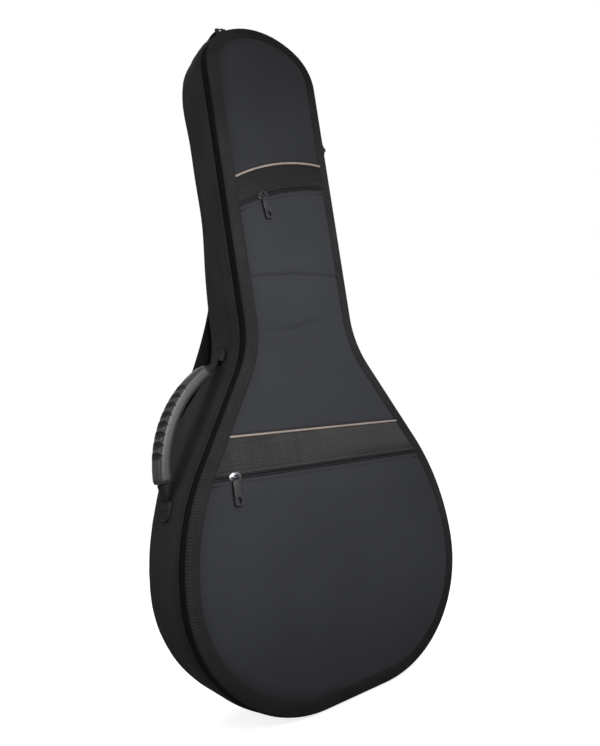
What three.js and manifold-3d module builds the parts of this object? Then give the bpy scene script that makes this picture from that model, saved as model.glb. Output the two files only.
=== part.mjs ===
// A padded, upright gig bag for a short-scale banjo, in millimetres, +Z up, front towards -Y.
// The origin is the middle of the flat bottom that the bag stands on.
// The side wall, back and lid are built on one seam line, the closed curve that the main zip follows.

import * as THREE from "three";
import { mergeVertices } from "three/addons/utils/BufferGeometryUtils.js";
import Module from "manifold-3d";

const wasm = await Module();
wasm.setup();

const degree = Math.PI / 180;
const right = 1;
const left = -1;

// Seam line, seen from the front
const caseHeight = 820;
const bodyHalfWidth = 188;
const widestHeight = 148;
const shoulderRadius = 260;
const flareAngle = 30.5 * degree;
const waistHalfWidth = 77;
const waistRadius = 120;
const headHalfWidth = 79.5;
const crownRadius = 95;
const crownHalfAngle = 36 * degree;
const seamRise = 2.5;

// Depth, seen from the side: full at the body, then a long taper towards the head
const bodyDepth = 97;
const headDepth = 56;
const taperStart = 200;
const taperBlend = 130;

// Wall layers
const seatGap = 0.3;
const clothThickness = 1.2;
const foamThickness = 10;
const liningThickness = 1;
const wallBulge = 4;
const bulgeStartShare = 0.3;
const bulgeEndShare = 0.75;
const bindingWidth = 8;
const bindingThickness = 0.7;

// Zip, the same for the main zip and both pockets
const coilGap = 0.9;
const coilWidth = 2.2;
const coilThickness = 1.6;
const tapeThickness = 0.7;
const tapeReach = 9;
const mainTapeReach = 12;
const coilClearance = 0.3;

// Main zip's hinge stretch on the right of the body
const hingeLow = 95;
const hingeHigh = 235;
const hingeGap = 0.3;
const endTabLength = 14;
const endTabThickness = 1;

// Lid layers, as distances behind (+) or before (-) the seam plane
const lidFoamBack = 1.5;
const lidFoamFront = -8.5;
const lidClothThickness = 1.5;
const pocketClothThickness = 0.8;
const edgeBandWidth = 13.5;
const lidEdgeInset = 3.3;
const lidTapeFold = 5.2;
const lidTapeTuck = 6;
const wallStart = 5;

// Seams across the lid
const upperPipingShare = 0.555;
const upperPipingTilt = 12.6 * degree;
const upperPipingRadius = 254;
const smallZipShare = 0.469;
const smallZipTilt = 14.5 * degree;
const smallZipRadius = 338;
const smallPocketBottomShare = 0.212;
const smallPocketBottomTilt = 1.43 * degree;
const smallPocketBottomRadius = 641;
const lowerPipingHeight = 306;
const lowerPipingSlope = -0.029;
const largeZipHeight = 263.6;
const largeZipSlope = -0.026;
const pipingRadius = 1.4;
const zipChannel = 5.2;

// Slider and pull
const sliderLength = 15;
const sliderWidth = 8.8;
const outerPlateWidth = 11.6;
const plateThickness = 1.1;
const innerPlateThickness = 0.75;
const innerPlateGap = 0.2;
const outerPlateGap = 0.2;
const mainInnerGap = 1;
const mainOuterGap = 0.7;
const sliderTailShare = 0.78;
const lipWidth = 0.8;
const lipDepth = 0.4;
const postWidth = 0.5;
const postLength = 4;
const bailHalfLength = 4.6;
const bailRise = 3.1;
const bailRadius = 0.9;
const bailBendShare = 1.5;
const eyeClearance = 0.6;
const eyeWall = 1.05;
const eyeLength = 3.6;
const pullLength = 32;
const pullWidth = 8.5;
const pullNeckWidth = 7;
const pullThickness = 1.6;
const pullHoleWidth = 3.6;
const pullHoleLength = 7;
const pullRim = 2.2;
const smallPullLean = 15 * degree;

// Where each slider is parked
const topSliderAngle = -30.3 * degree;
const sideSliderNeckShare = 0.705;
const smallSliderShare = -0.39;
const largeSliderShare = -0.631;

// Side handle
const handleRise = -6;
const handleHalfSpan = 87;
const handleBack = 49;
const pivotHeight = 4.5;
const gripHalfChord = 69.5;
const gripRadius = 140;
const gripTop = 28;
const gripWidth = 27;
const gripThickness = 16;
const gripCorner = 5;
const gripBoreClearance = 0.3;
const notchCount = 8;
const notchPitch = 11.5;
const notchRadius = 3.2;
const notchLength = 17.5;
const notchSink = 0.4;
const handleWebWidth = 20;
const handleWebThickness = 2;
const handleWebEndWidth = 9;
const webNeckShare = 0.45;
const webEndGap = 0.7;
const patchLength = 24;
const patchWidth = 28;
const patchEdge = 1.8;
const patchBevel = 2;

// Shoulder straps on the back
const yokeGap = 0.5;
const yokeHeightShare = 0.09;
const yokeWidth = 136;
const yokeThickness = 3;
const padTopX = 35;
const padTopShare = 0.36;
const padEndShare = 0.578;
const padEndHeight = 300;
const padTopRun = 120;
const padEndRun = 70;
const padWidth = 55;
const padThickness = 10;
const padEdge = 3;
const strapEndShare = 0.66;
const strapEndHeight = 112;
const webWidth = 25;
const webThickness = 1.6;
const anchorLength = 38;
const anchorTopWidth = 30;
const anchorEndWidth = 54;
const anchorThickness = 2;
const loopThickness = 1.2;
const buckleWidth = 34;
const buckleSlotWidth = 26.6;
const buckleThickness = 3.2;
const buckleStart = 11;
const buckleBar = 4;
const upperSlot = 7;
const middleBar = 5;
const lowerSlot = 8;
const tailLength = 60;

// Hang loop at the top of the back
const loopDrop = 40;
const loopSpan = 80;
const loopRise = 22;
const loopSewn = 14;
const archShares = [0, 0.1, 0.28, 0.5, 0.72, 0.9, 1];
const archFullness = 0.8;

// Resolution of the curves
const bottomSteps = 7;
const shoulderSteps = 3;
const waistSteps = 3;
const cornerSteps = 8;
const crownSteps = 4;
const flareRuns = 2;
const neckRuns = 4;
const seamSteps = 16;
const gripSteps = 12;
const padSteps = 8;
const tailRuns = 6;
const cutOverrun = 2;
const leastRun = 2;
const mergeStep = 1e-4;

const seamY = -bodyDepth / 2;
const loopLow = caseHeight - loopDrop - loopSpan;
const lidClothFront = lidFoamFront - lidClothThickness;
const coilHalf = coilThickness / 2;
const coilNear = coilGap / 2;
const coilFar = coilNear + coilWidth;
const tapeNear = coilFar + coilClearance;

const look = (color, roughness, metalness = 0) =>
  new THREE.MeshStandardMaterial({ color, roughness, metalness });
const cloth = look(0x3d3f43, 0.85);
const sideCloth = look(0x242624, 0.9);
const woven = look(0x302e2d, 0.95);
const pipingCord = look(0xbea58c, 0.7);
const foam = look(0x55585a, 0.95);
const lining = look(0x1c1d20, 0.9);
const coilNylon = look(0x17181a, 0.5);
const metal = look(0x77797c, 0.35, 0.9);
const rubber = look(0x2b2d2a, 0.5);
const webbing = look(0x1d1e1d, 0.85);
const plastic = look(0x151616, 0.4);

const bag = new THREE.Group();

function add(name, geometry, material) {
  const mesh = new THREE.Mesh(geometry, material);
  mesh.name = name;
  bag.add(mesh);
  return mesh;
}

// The solid of a closed geometry, for cuts and joins
function solid(geometry) {
  const bare = geometry.clone();
  bare.deleteAttribute("normal");
  bare.deleteAttribute("uv");
  const merged = mergeVertices(bare, mergeStep);
  const mesh = new wasm.Mesh({
    numProp: 3,
    vertProperties: new Float32Array(merged.attributes.position.array),
    triVerts: new Uint32Array(merged.index.array),
  });
  return new wasm.Manifold(mesh);
}

function geometryOf(body) {
  const mesh = body.getMesh();
  const geometry = new THREE.BufferGeometry();
  geometry.setAttribute("position", new THREE.BufferAttribute(mesh.vertProperties, 3));
  geometry.setIndex(new THREE.BufferAttribute(mesh.triVerts, 1));
  return geometry;
}

// Skins a row of matching sections. A closed row joins its last section to its first.
function skin(sections, closed) {
  const count = sections[0].length;
  const rows = sections.length;
  const points = sections.flat();
  const faces = [];
  const spans = closed ? rows : rows - 1;
  for (let i = 0; i < spans; i++) {
    for (let j = 0; j < count; j++) {
      const a = i * count + j;
      const b = i * count + ((j + 1) % count);
      const c = ((i + 1) % rows) * count + ((j + 1) % count);
      const d = ((i + 1) % rows) * count + j;
      faces.push([a, b, c], [a, c, d]);
    }
  }
  if (!closed) {
    const last = (rows - 1) * count;
    for (let j = 1; j < count - 1; j++) {
      faces.push([0, j + 1, j], [last, last + j, last + j + 1]);
    }
  }
  const volume = faces.reduce((sum, [a, b, c]) => {
    return sum + points[a].dot(new THREE.Vector3().crossVectors(points[b], points[c]));
  }, 0);
  const outward = volume > 0 ? faces : faces.map(([a, b, c]) => [a, c, b]);
  const geometry = new THREE.BufferGeometry().setFromPoints(points);
  geometry.setIndex(outward.flat());
  geometry.computeVertexNormals();
  return geometry;
}

// One stop on the seam line: a point, and the way out of the bag there
const stop = (point, out) => ({ x: point.x, z: point.y, nx: out.x, nz: out.y });
const mirrored = (s) => ({ x: -s.x, z: s.z, nx: -s.nx, nz: s.nz });
const outwardOf = (way) => new THREE.Vector2(way.y, -way.x);

// Corners of the right half of the seam line, each rounded to an arc
const shoulderCorner = new THREE.Vector2(
  bodyHalfWidth,
  widestHeight + shoulderRadius * Math.tan(flareAngle / 2),
);
const waistCorner = new THREE.Vector2(
  waistHalfWidth,
  shoulderCorner.y + (bodyHalfWidth - waistHalfWidth) / Math.tan(flareAngle),
);
const crownCorner = new THREE.Vector2(crownRadius * Math.tan(crownHalfAngle / 2), caseHeight);
const headCorner = new THREE.Vector2(
  headHalfWidth,
  caseHeight - (headHalfWidth - crownCorner.x) * Math.tan(crownHalfAngle),
);
const headCornerRun = headCorner.distanceTo(crownCorner) - crownCorner.x;
const headTurn = 90 * degree - crownHalfAngle;
const headCornerRadius = headCornerRun / Math.tan(headTurn / 2) - seatGap;
const neckLength = caseHeight - waistCorner.y;
const neckAt = (share) => waistCorner.y + neckLength * share;
const seamStart = new THREE.Vector2(0, seamRise);
const seamEnd = new THREE.Vector2(0, caseHeight);

// Rounds one corner of the seam line between its neighbours
function fillet(before, corner, after, radius) {
  const wayIn = new THREE.Vector2().subVectors(corner, before).normalize();
  const wayOut = new THREE.Vector2().subVectors(after, corner).normalize();
  const turn = Math.atan2(wayIn.cross(wayOut), wayIn.dot(wayOut));
  const out = outwardOf(wayIn);
  const start = corner.clone().addScaledVector(wayIn, -radius * Math.tan(Math.abs(turn) / 2));
  const centre = start.clone().addScaledVector(out, -Math.sign(turn) * radius);
  return { start, centre, turn, out, radius };
}

const crownFillet = fillet(headCorner, crownCorner, seamEnd, crownRadius);
const headFillet = fillet(waistCorner, headCorner, crownCorner, headCornerRadius);

function halfOutline() {
  const corners = [
    [new THREE.Vector2(bodyHalfWidth, seamRise), widestHeight - seamRise, bottomSteps, 1],
    [shoulderCorner, shoulderRadius, shoulderSteps, 1],
    [waistCorner, waistRadius, waistSteps, flareRuns],
    [headCorner, headCornerRadius, cornerSteps, neckRuns],
    [crownCorner, crownRadius, crownSteps, 1],
  ];
  const stops = [stop(seamStart, new THREE.Vector2(0, -1))];
  let before = seamStart;
  corners.forEach(([corner, radius, steps, runs], i) => {
    const after = i + 1 < corners.length ? corners[i + 1][0] : seamEnd;
    const { start, centre, turn, out } = fillet(before, corner, after, radius);
    const last = stops[stops.length - 1];
    const from = new THREE.Vector2(last.x, last.z);
    if (start.distanceTo(from) > leastRun) {
      for (let k = 1; k <= runs; k++) stops.push(stop(from.clone().lerp(start, k / runs), out));
    }
    for (let k = 1; k <= steps; k++) {
      const away = out.clone().rotateAround(new THREE.Vector2(), (turn * k) / steps);
      stops.push(stop(centre.clone().addScaledVector(away, Math.sign(turn) * radius), away));
    }
    before = corner;
  });
  return stops;
}

const rightHalf = halfOutline();
const leftHalf = rightHalf.slice(1, -1).map(mirrored).reverse();
const outline = [...rightHalf, ...leftHalf];

// The seam line's stop at a height, on one side
function stopAt(z, side = right) {
  const i = rightHalf.findIndex((s, k) => k > 0 && s.z >= z && s.z > rightHalf[k - 1].z);
  const a = rightHalf[i - 1];
  const b = rightHalf[i];
  const share = (z - a.z) / (b.z - a.z);
  const mix = (key) => THREE.MathUtils.lerp(a[key], b[key], share);
  const found = { x: mix("x"), z, nx: mix("nx"), nz: mix("nz") };
  return side === right ? found : mirrored(found);
}

// Depth of the side wall at a height
function depthAt(z) {
  const slope = (bodyDepth - headDepth) / (caseHeight - taperStart - taperBlend / 2);
  if (z <= taperStart) return bodyDepth;
  const past = z - taperStart;
  if (past < taperBlend) return bodyDepth - (slope * past * past) / (2 * taperBlend);
  return bodyDepth - slope * (past - taperBlend / 2);
}

// A point of the wall: so far out of the seam line, so far back, and no lower than `least`
function wallPoint(s, out, back, least = 0) {
  const z = Math.max(s.z + s.nz * out, least);
  return new THREE.Vector3(s.x + s.nx * out, seamY + back(depthAt(z)), z);
}

const wall = (section, row, closed) =>
  skin(row.map((s) => section.map(([out, back, least]) => wallPoint(s, out, back, least))), closed);
const ring = (section) => wall(section, outline, true);
const at = (back) => () => back;
const fromBack = (rise) => (depth) => depth - rise;
const shareOf = (share) => (depth) => depth * share;

// Stretches of the seam line with and without the main zip
const hingeRow = [
  stopAt(hingeLow),
  ...rightHalf.filter((s) => s.z > hingeLow && s.z < hingeHigh),
  stopAt(hingeHigh),
];
const zipRow = [
  stopAt(hingeHigh),
  ...rightHalf.filter((s) => s.z > hingeHigh),
  ...leftHalf,
  ...rightHalf.filter((s) => s.z < hingeLow),
  stopAt(hingeLow),
];

// A rectangle in the wall's section
const block = (outLow, outHigh, backLow, backHigh) => [
  [outLow, backLow],
  [outHigh, backLow],
  [outHigh, backHigh],
  [outLow, backHigh],
];

// Side wall: cloth, foam and lining, each one closed band round the bag
const clothOut = -tapeThickness / 2 - seatGap;
const clothIn = clothOut - clothThickness;
const foamOut = clothIn - seatGap;
const foamIn = foamOut - foamThickness;
const bulgeStart = shareOf(bulgeStartShare);
const bulgeEnd = shareOf(bulgeEndShare);

function sideWall() {
  const tapeEnd = at(mainTapeReach + seatGap);
  const start = at(wallStart);
  const under = clothThickness;
  const padded = under + seatGap;
  const clothSection = [
    [clothOut, start],
    [clothOut, tapeEnd],
    [wallBulge, bulgeStart],
    [wallBulge, bulgeEnd],
    [clothOut, fromBack(0)],
    [clothIn, fromBack(0), under],
    [wallBulge - clothThickness, bulgeEnd, under],
    [wallBulge - clothThickness, bulgeStart, under],
    [clothIn, tapeEnd, under],
    [clothIn, start, under],
  ];
  add("side_outer_cloth", ring(clothSection), sideCloth);
  const foamBulge = wallBulge - clothThickness - seatGap;
  const foamSection = [
    [foamIn, start],
    [foamIn, fromBack(0)],
    [foamOut, fromBack(0)],
    [foamBulge, bulgeEnd, padded],
    [foamBulge, bulgeStart, padded],
    [foamOut, tapeEnd],
    [foamOut, start],
  ];
  add("side_foam", ring(foamSection), foam);
  const liningOut = foamIn - seatGap;
  const liningIn = liningOut - liningThickness;
  const liningBack = fromBack(foamThickness + liningThickness + 2 * seatGap);
  add("side_lining", ring(block(liningIn, liningOut, start, liningBack)), lining);
  const bindingOut = liningIn - seatGap;
  const bindingFront = fromBack(foamThickness + liningThickness + 2 * seatGap + bindingThickness);
  const binding = block(bindingOut - bindingWidth, bindingOut, bindingFront, liningBack);
  add("back_seam_binding", ring(binding), woven);
}

// A plate across the whole back, in rows from the bottom to the crown
function backPlate(out, front, back) {
  const rows = rightHalf.filter((s) => s.x > seatGap);
  const sections = rows.map((s) => {
    const x = s.x + s.nx * out;
    const z = s.z + s.nz * out;
    const y = (rise) => seamY + depthAt(z) + rise;
    return [
      new THREE.Vector3(-x, y(front), z),
      new THREE.Vector3(x, y(front), z),
      new THREE.Vector3(x, y(back), z),
      new THREE.Vector3(-x, y(back), z),
    ];
  });
  return skin(sections, false);
}

const backFace = seatGap + clothThickness;

function backPanel() {
  const inner = foamIn - seatGap;
  const liningBack = -foamThickness - seatGap;
  add("back_outer_cloth", backPlate(clothOut, seatGap, backFace), sideCloth);
  add("back_foam", backPlate(inner, -foamThickness, 0), foam);
  add("back_lining", backPlate(inner, liningBack - liningThickness, liningBack), lining);
}

// Main zip: the rear half on the wall, the front half on the lid, and the sewn hinge between its ends
function mainZip() {
  const rearTape = block(-tapeThickness / 2, tapeThickness / 2, at(tapeNear), at(mainTapeReach));
  const rearCoil = block(-coilHalf, coilHalf, at(coilNear), at(coilFar));
  add("main_zip_rear_tape", wall(rearTape, zipRow, false), woven);
  add("main_zip_rear_coil", wall(rearCoil, zipRow, false), coilNylon);
  const frontCoil = block(-coilHalf, coilHalf, at(-coilFar), at(-coilNear));
  add("main_zip_front_coil", wall(frontCoil, zipRow, false), coilNylon);
  const foldBack = at(-lidTapeFold);
  const foldFront = at(-lidTapeFold - tapeThickness);
  const folded = (edge) => [
    [-tapeThickness / 2, foldBack],
    [-tapeThickness / 2, at(edge)],
    [tapeThickness / 2, at(edge)],
    [tapeThickness / 2, foldFront],
    [-lidTapeTuck, foldFront],
    [-lidTapeTuck, foldBack],
  ];
  add("main_zip_front_tape", wall(folded(-tapeNear), zipRow, false), woven);
  const inHinge = hingeRow.slice(1, -1);
  const ownStops = [stopAt(hingeLow + seatGap), ...inHinge, stopAt(hingeHigh - seatGap)];
  const hinge = block(-tapeThickness / 2, tapeThickness / 2, at(hingeGap), at(mainTapeReach));
  add("hinge_strip_case_half", wall(hinge, ownStops, false), sideCloth);
  add("hinge_strip_lid_half", wall(folded(-hingeGap), ownStops, false), sideCloth);
}

// Cloth tabs over the two ends of the main zip's rear tape
function zipEndTab(name, low) {
  const lowest = stopAt(low);
  const highest = stopAt(low + endTabLength);
  const between = rightHalf.filter((s) => s.z > lowest.z && s.z < highest.z);
  const under = tapeThickness / 2 + seatGap;
  const section = block(under, under + endTabThickness, at(tapeNear), at(mainTapeReach));
  add(name, wall(section, [lowest, ...between, highest], false), sideCloth);
}

// A shape in the front's plane, as a slab between two distances from the seam plane
function slab(shape, front, back) {
  const geometry = new THREE.ExtrudeGeometry(shape, { depth: back - front, bevelEnabled: false });
  geometry.rotateX(90 * degree);
  geometry.translate(0, seamY + back, 0);
  return geometry;
}

const insetShape = (inset) =>
  new THREE.Shape(outline.map((s) => new THREE.Vector2(s.x - s.nx * inset, s.z - s.nz * inset)));

// A seam across the lid as an arc, at its height in the middle, leaning by its tilt
function arcSeam(height, tilt, radius, reach) {
  const centre = new THREE.Vector2(radius * Math.sin(tilt), height - radius * Math.cos(tilt));
  const make = (size) => ({
    reach,
    steps: seamSteps,
    centre,
    heightAt: (x) => centre.y + Math.sqrt(size * size - (x - centre.x) ** 2),
    raised: (rise) => make(size + rise),
  });
  return make(radius);
}

function straightSeam(height, slope, reach) {
  const make = (middle) => ({
    reach,
    steps: 1,
    heightAt: (x) => middle + slope * x,
    raised: (rise) => make(middle + rise * Math.hypot(1, slope)),
  });
  return make(height);
}

const neckReach = headHalfWidth;
const upperPiping = arcSeam(
  neckAt(upperPipingShare),
  upperPipingTilt,
  upperPipingRadius,
  neckReach,
);
const smallZip = arcSeam(neckAt(smallZipShare), smallZipTilt, smallZipRadius, neckReach);
const pocketBottom = arcSeam(
  neckAt(smallPocketBottomShare),
  smallPocketBottomTilt,
  smallPocketBottomRadius,
  neckReach,
);
const lowerPiping = straightSeam(lowerPipingHeight, lowerPipingSlope, bodyHalfWidth);
const largeZip = straightSeam(largeZipHeight, largeZipSlope, bodyHalfWidth);
const lidTop = straightSeam(caseHeight, 0, headHalfWidth);
const lidBottom = straightSeam(0, 0, bodyHalfWidth);

const seamPoints = (seam) =>
  Array.from({ length: seam.steps + 1 }, (_, k) => {
    const x = THREE.MathUtils.lerp(-seam.reach, seam.reach, k / seam.steps);
    return new THREE.Vector2(x, seam.heightAt(x));
  });

// The part of the lid between two seams, cut to the lid's own outline less an inset
function lidPiece(low, high, front, back, inset) {
  const shape = new THREE.Shape([...seamPoints(low), ...seamPoints(high).reverse()]);
  const strip = solid(slab(shape, front, back));
  const limit = solid(slab(insetShape(inset), front - cutOverrun, back + cutOverrun));
  return geometryOf(strip.intersect(limit));
}

const panelInset = edgeBandWidth + seatGap;

function piping(name, seam) {
  const sides = 6;
  const sections = seamPoints(seam).map((p) =>
    Array.from({ length: sides }, (_, k) => {
      const turn = (2 * Math.PI * k) / sides;
      const y = seamY + lidFoamFront - pipingRadius + pipingRadius * Math.cos(turn);
      return new THREE.Vector3(p.x, y, p.y + pipingRadius * Math.sin(turn));
    }),
  );
  const depth = lidFoamFront - 2 * pipingRadius;
  const limit = solid(slab(insetShape(panelInset), depth - cutOverrun, lidFoamFront + cutOverrun));
  add(name, geometryOf(solid(skin(sections, false)).intersect(limit)), pipingCord);
}

// A pocket's zip: two tapes lying on the cloth and two coils between them
const pocketTapeFront = lidClothFront - tapeThickness;
const pocketCoilMiddle = lidClothFront - tapeThickness / 2;

function pocketZip(name, seam) {
  const coilFront = pocketCoilMiddle - coilHalf;
  const coilBack = pocketCoilMiddle + coilHalf;
  const strip = (low, high, front, back) =>
    lidPiece(seam.raised(low), seam.raised(high), front, back, panelInset + seatGap);
  const upperTape = strip(tapeNear, tapeReach, pocketTapeFront, lidClothFront);
  const upperCoil = strip(coilNear, coilFar, coilFront, coilBack);
  const lowerCoil = strip(-coilFar, -coilNear, coilFront, coilBack);
  const lowerTape = strip(-tapeReach, -tapeNear, pocketTapeFront, lidClothFront);
  add(name + "_upper_tape", upperTape, woven);
  add(name + "_upper_coil", upperCoil, coilNylon);
  add(name + "_lower_coil", lowerCoil, coilNylon);
  add(name + "_lower_tape", lowerTape, woven);
}

function lid() {
  const cover = (low, high) => lidPiece(low, high, lidClothFront, lidFoamFront, panelInset);
  const beside = pipingRadius + seatGap;
  const pocketBack = lidClothFront + pocketClothThickness;
  const headPanel = cover(upperPiping.raised(beside), lidTop);
  const upperBand = cover(smallZip.raised(zipChannel), upperPiping.raised(-beside));
  const middlePanel = cover(lowerPiping.raised(beside), pocketBottom.raised(-seatGap));
  const lowerBand = cover(largeZip.raised(zipChannel), lowerPiping.raised(-beside));
  add("head_panel", headPanel, cloth);
  piping("upper_piping", upperPiping);
  add("upper_woven_band", upperBand, woven);
  pocketZip("small_zip", smallZip);
  const pocket = (low, high, front, back) => lidPiece(low, high, front, back, panelInset);
  const smallTop = smallZip.raised(-zipChannel);
  const largeTop = largeZip.raised(-zipChannel);
  add("small_pocket_panel", pocket(pocketBottom, smallTop, lidClothFront, pocketBack), cloth);
  add("small_pocket_backing", pocket(pocketBottom, smallTop, pocketBack, lidFoamFront), lining);
  add("middle_panel", middlePanel, cloth);
  piping("lower_piping", lowerPiping);
  add("lower_woven_band", lowerBand, woven);
  pocketZip("large_zip", largeZip);
  add("large_pocket_panel", pocket(lidBottom, largeTop, lidClothFront, pocketBack), cloth);
  add("large_pocket_backing", pocket(lidBottom, largeTop, pocketBack, lidFoamFront), lining);
}

// Rounded edge of the lid as fractions of the edge band's width and of the lid's front depth
const shoulderShares = { crest: 0.48, turn: 0.18, crestDrop: 0.04, turnDrop: 0.2 };

function lidCore() {
  const foldFront = -lidTapeFold - tapeThickness;
  const crestOut = -edgeBandWidth * shoulderShares.crest;
  const turnOut = -edgeBandWidth * shoulderShares.turn;
  const crest = lidClothFront * (1 - shoulderShares.crestDrop);
  const turn = lidClothFront * (1 - shoulderShares.turnDrop);
  const bandEnd = foldFront - seatGap;
  const bandSection = [
    [-edgeBandWidth, at(lidClothFront)],
    [crestOut, at(crest)],
    [turnOut, at(turn)],
    [-tapeThickness / 2, at(bandEnd)],
    [turnOut, at(bandEnd)],
    [crestOut, at(crest + lidClothThickness)],
    [-edgeBandWidth, at(lidFoamFront)],
  ];
  add("edge_band", ring(bandSection), woven);
  const underFold = at(-lidTapeFold + seatGap);
  const pastTuck = -lidTapeTuck - seatGap;
  const overlap = -panelInset - cutOverrun;
  const skirtSection = [
    [overlap, at(lidFoamFront)],
    [-edgeBandWidth, at(lidFoamFront)],
    [crestOut - 2 * seatGap, at(crest + lidClothThickness + seatGap)],
    [pastTuck, underFold],
    [-lidEdgeInset, underFold],
    [-lidEdgeInset, at(lidFoamBack)],
    [overlap, at(lidFoamBack)],
  ];
  const middle = slab(insetShape(panelInset), lidFoamFront, lidFoamBack);
  add("lid_foam", geometryOf(solid(ring(skirtSection)).add(solid(middle))), foam);
  const liningBack = lidFoamBack + liningThickness;
  add("lid_lining", slab(insetShape(lidEdgeInset), lidFoamBack, liningBack), lining);
}

// Slider and pull in their own frame: X along the zip, Y across it, Z out of it; the nose is at -X
function box(x, y, z) {
  const geometry = new THREE.BoxGeometry(x[1] - x[0], y[1] - y[0], z[1] - z[0]);
  return geometry.translate((x[0] + x[1]) / 2, (y[0] + y[1]) / 2, (z[0] + z[1]) / 2);
}

function sliderPlate(low, high, width) {
  const half = sliderLength / 2;
  const side = width / 2;
  const tail = side * sliderTailShare;
  const shape = new THREE.Shape();
  shape.moveTo(-half, -side / 2);
  shape.lineTo(-half + side / 2, -side);
  shape.lineTo(0, -side);
  shape.lineTo(half, -tail);
  shape.lineTo(half, tail);
  shape.lineTo(0, side);
  shape.lineTo(-half + side / 2, side);
  shape.lineTo(-half, side / 2);
  const geometry = new THREE.ExtrudeGeometry(shape, { depth: high - low, bevelEnabled: false });
  return geometry.translate(0, 0, low);
}

// A round bar that rises, runs along the zip over the plate and comes down again
function bailBar(foot, top) {
  const sides = 8;
  const shoulder = bailRadius * bailBendShare;
  const route = [
    [-bailHalfLength, foot],
    [-bailHalfLength, top - shoulder],
    [-bailHalfLength + shoulder, top],
    [bailHalfLength - shoulder, top],
    [bailHalfLength, top - shoulder],
    [bailHalfLength, foot],
  ];
  const sections = route.map(([x, z], i) => {
    const [xa, za] = route[Math.max(i - 1, 0)];
    const [xb, zb] = route[Math.min(i + 1, route.length - 1)];
    const way = new THREE.Vector2(xb - xa, zb - za).normalize();
    return Array.from({ length: sides }, (_, k) => {
      const turn = (2 * Math.PI * (k + 0.5)) / sides;
      const across = bailRadius * Math.cos(turn);
      return new THREE.Vector3(x - way.y * across, bailRadius * Math.sin(turn), z + way.x * across);
    });
  });
  return skin(sections, false);
}

const bailHeight = (outerGap) => coilHalf + outerGap + plateThickness + bailRise;

function slider(innerGap, outerGap, innerThickness) {
  const outerLow = coilHalf + outerGap;
  const outerHigh = outerLow + plateThickness;
  const innerHigh = -coilHalf - innerGap;
  const innerLow = innerHigh - innerThickness;
  const half = sliderLength / 2;
  const side = sliderWidth / 2;
  const postStart = -half + lipWidth;
  const middle = plateThickness / 2;
  const post = box(
    [postStart, postStart + postLength],
    [-postWidth / 2, postWidth / 2],
    [innerLow + innerThickness / 2, outerLow + middle],
  );
  const lip = (sideSign) => {
    const edges = [sideSign * side, sideSign * (side - lipWidth)].sort((a, b) => a - b);
    return box([-side / 2, half / 4], edges, [outerLow - lipDepth, outerLow + middle]);
  };
  const parts = [
    sliderPlate(innerLow, innerHigh, sliderWidth),
    post,
    lip(right),
    lip(left),
    bailBar(outerLow + middle, bailHeight(outerGap)),
  ];
  const body = solid(sliderPlate(outerLow, outerHigh, outerPlateWidth));
  return geometryOf(parts.reduce((sum, part) => sum.add(solid(part)), body));
}

function pull() {
  const bore = bailRadius + eyeClearance;
  const eyeRadius = bore + eyeWall;
  const sides = 12;
  const eye = new THREE.CylinderGeometry(eyeRadius, eyeRadius, eyeLength, sides).rotateZ(90 * degree);
  const cut = eyeLength + 2 * cutOverrun;
  const hole = new THREE.CylinderGeometry(bore, bore, cut, sides).rotateZ(90 * degree);
  const neck = pullNeckWidth / 2;
  const wide = pullWidth / 2;
  const shoulderY = -eyeRadius - pullWidth / 4;
  const shape = new THREE.Shape();
  shape.moveTo(-eyeLength / 2, -bore);
  shape.lineTo(-neck, -eyeRadius - pullRim);
  shape.lineTo(-wide, shoulderY - pullRim);
  shape.lineTo(-wide, -pullLength + wide);
  shape.lineTo(-wide / 2, -pullLength);
  shape.lineTo(wide / 2, -pullLength);
  shape.lineTo(wide, -pullLength + wide);
  shape.lineTo(wide, shoulderY - pullRim);
  shape.lineTo(neck, -eyeRadius - pullRim);
  shape.lineTo(eyeLength / 2, -bore);
  const slot = new THREE.Path();
  const holeEnd = -pullLength + pullRim;
  const r = pullHoleWidth / 2;
  slot.absarc(0, holeEnd + r, r, 180 * degree, 360 * degree, false);
  slot.absarc(0, holeEnd + pullHoleLength - r, r, 0, 180 * degree, false);
  shape.holes.push(slot);
  const flat = { depth: pullThickness, bevelEnabled: false, curveSegments: 3 };
  const tab = new THREE.ExtrudeGeometry(shape, flat).translate(0, 0, -pullThickness / 2);
  return geometryOf(solid(eye).add(solid(tab)).subtract(solid(hole)));
}

// Sets a slider and its pull on a zip. `along`, `across` and `out` are the frame's three ways, and the
// pull hangs on its bail with a lean.
function placeSlider(name, origin, along, out, nose, gaps, lean) {
  const across = new THREE.Vector3().crossVectors(out, along);
  const turned = new THREE.Matrix4().makeBasis(
    along.clone().multiplyScalar(nose),
    across.clone().multiplyScalar(nose),
    out,
  );
  const body = add(name + "_slider", slider(...gaps), metal);
  body.position.copy(origin);
  body.quaternion.setFromRotationMatrix(turned);
  const tab = add(name + "_pull", pull(), metal);
  tab.position.copy(origin).addScaledVector(out, bailHeight(gaps[1]));
  tab.quaternion.setFromRotationMatrix(new THREE.Matrix4().makeBasis(along, across, out));
  tab.rotateZ(-lean);
}

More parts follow.
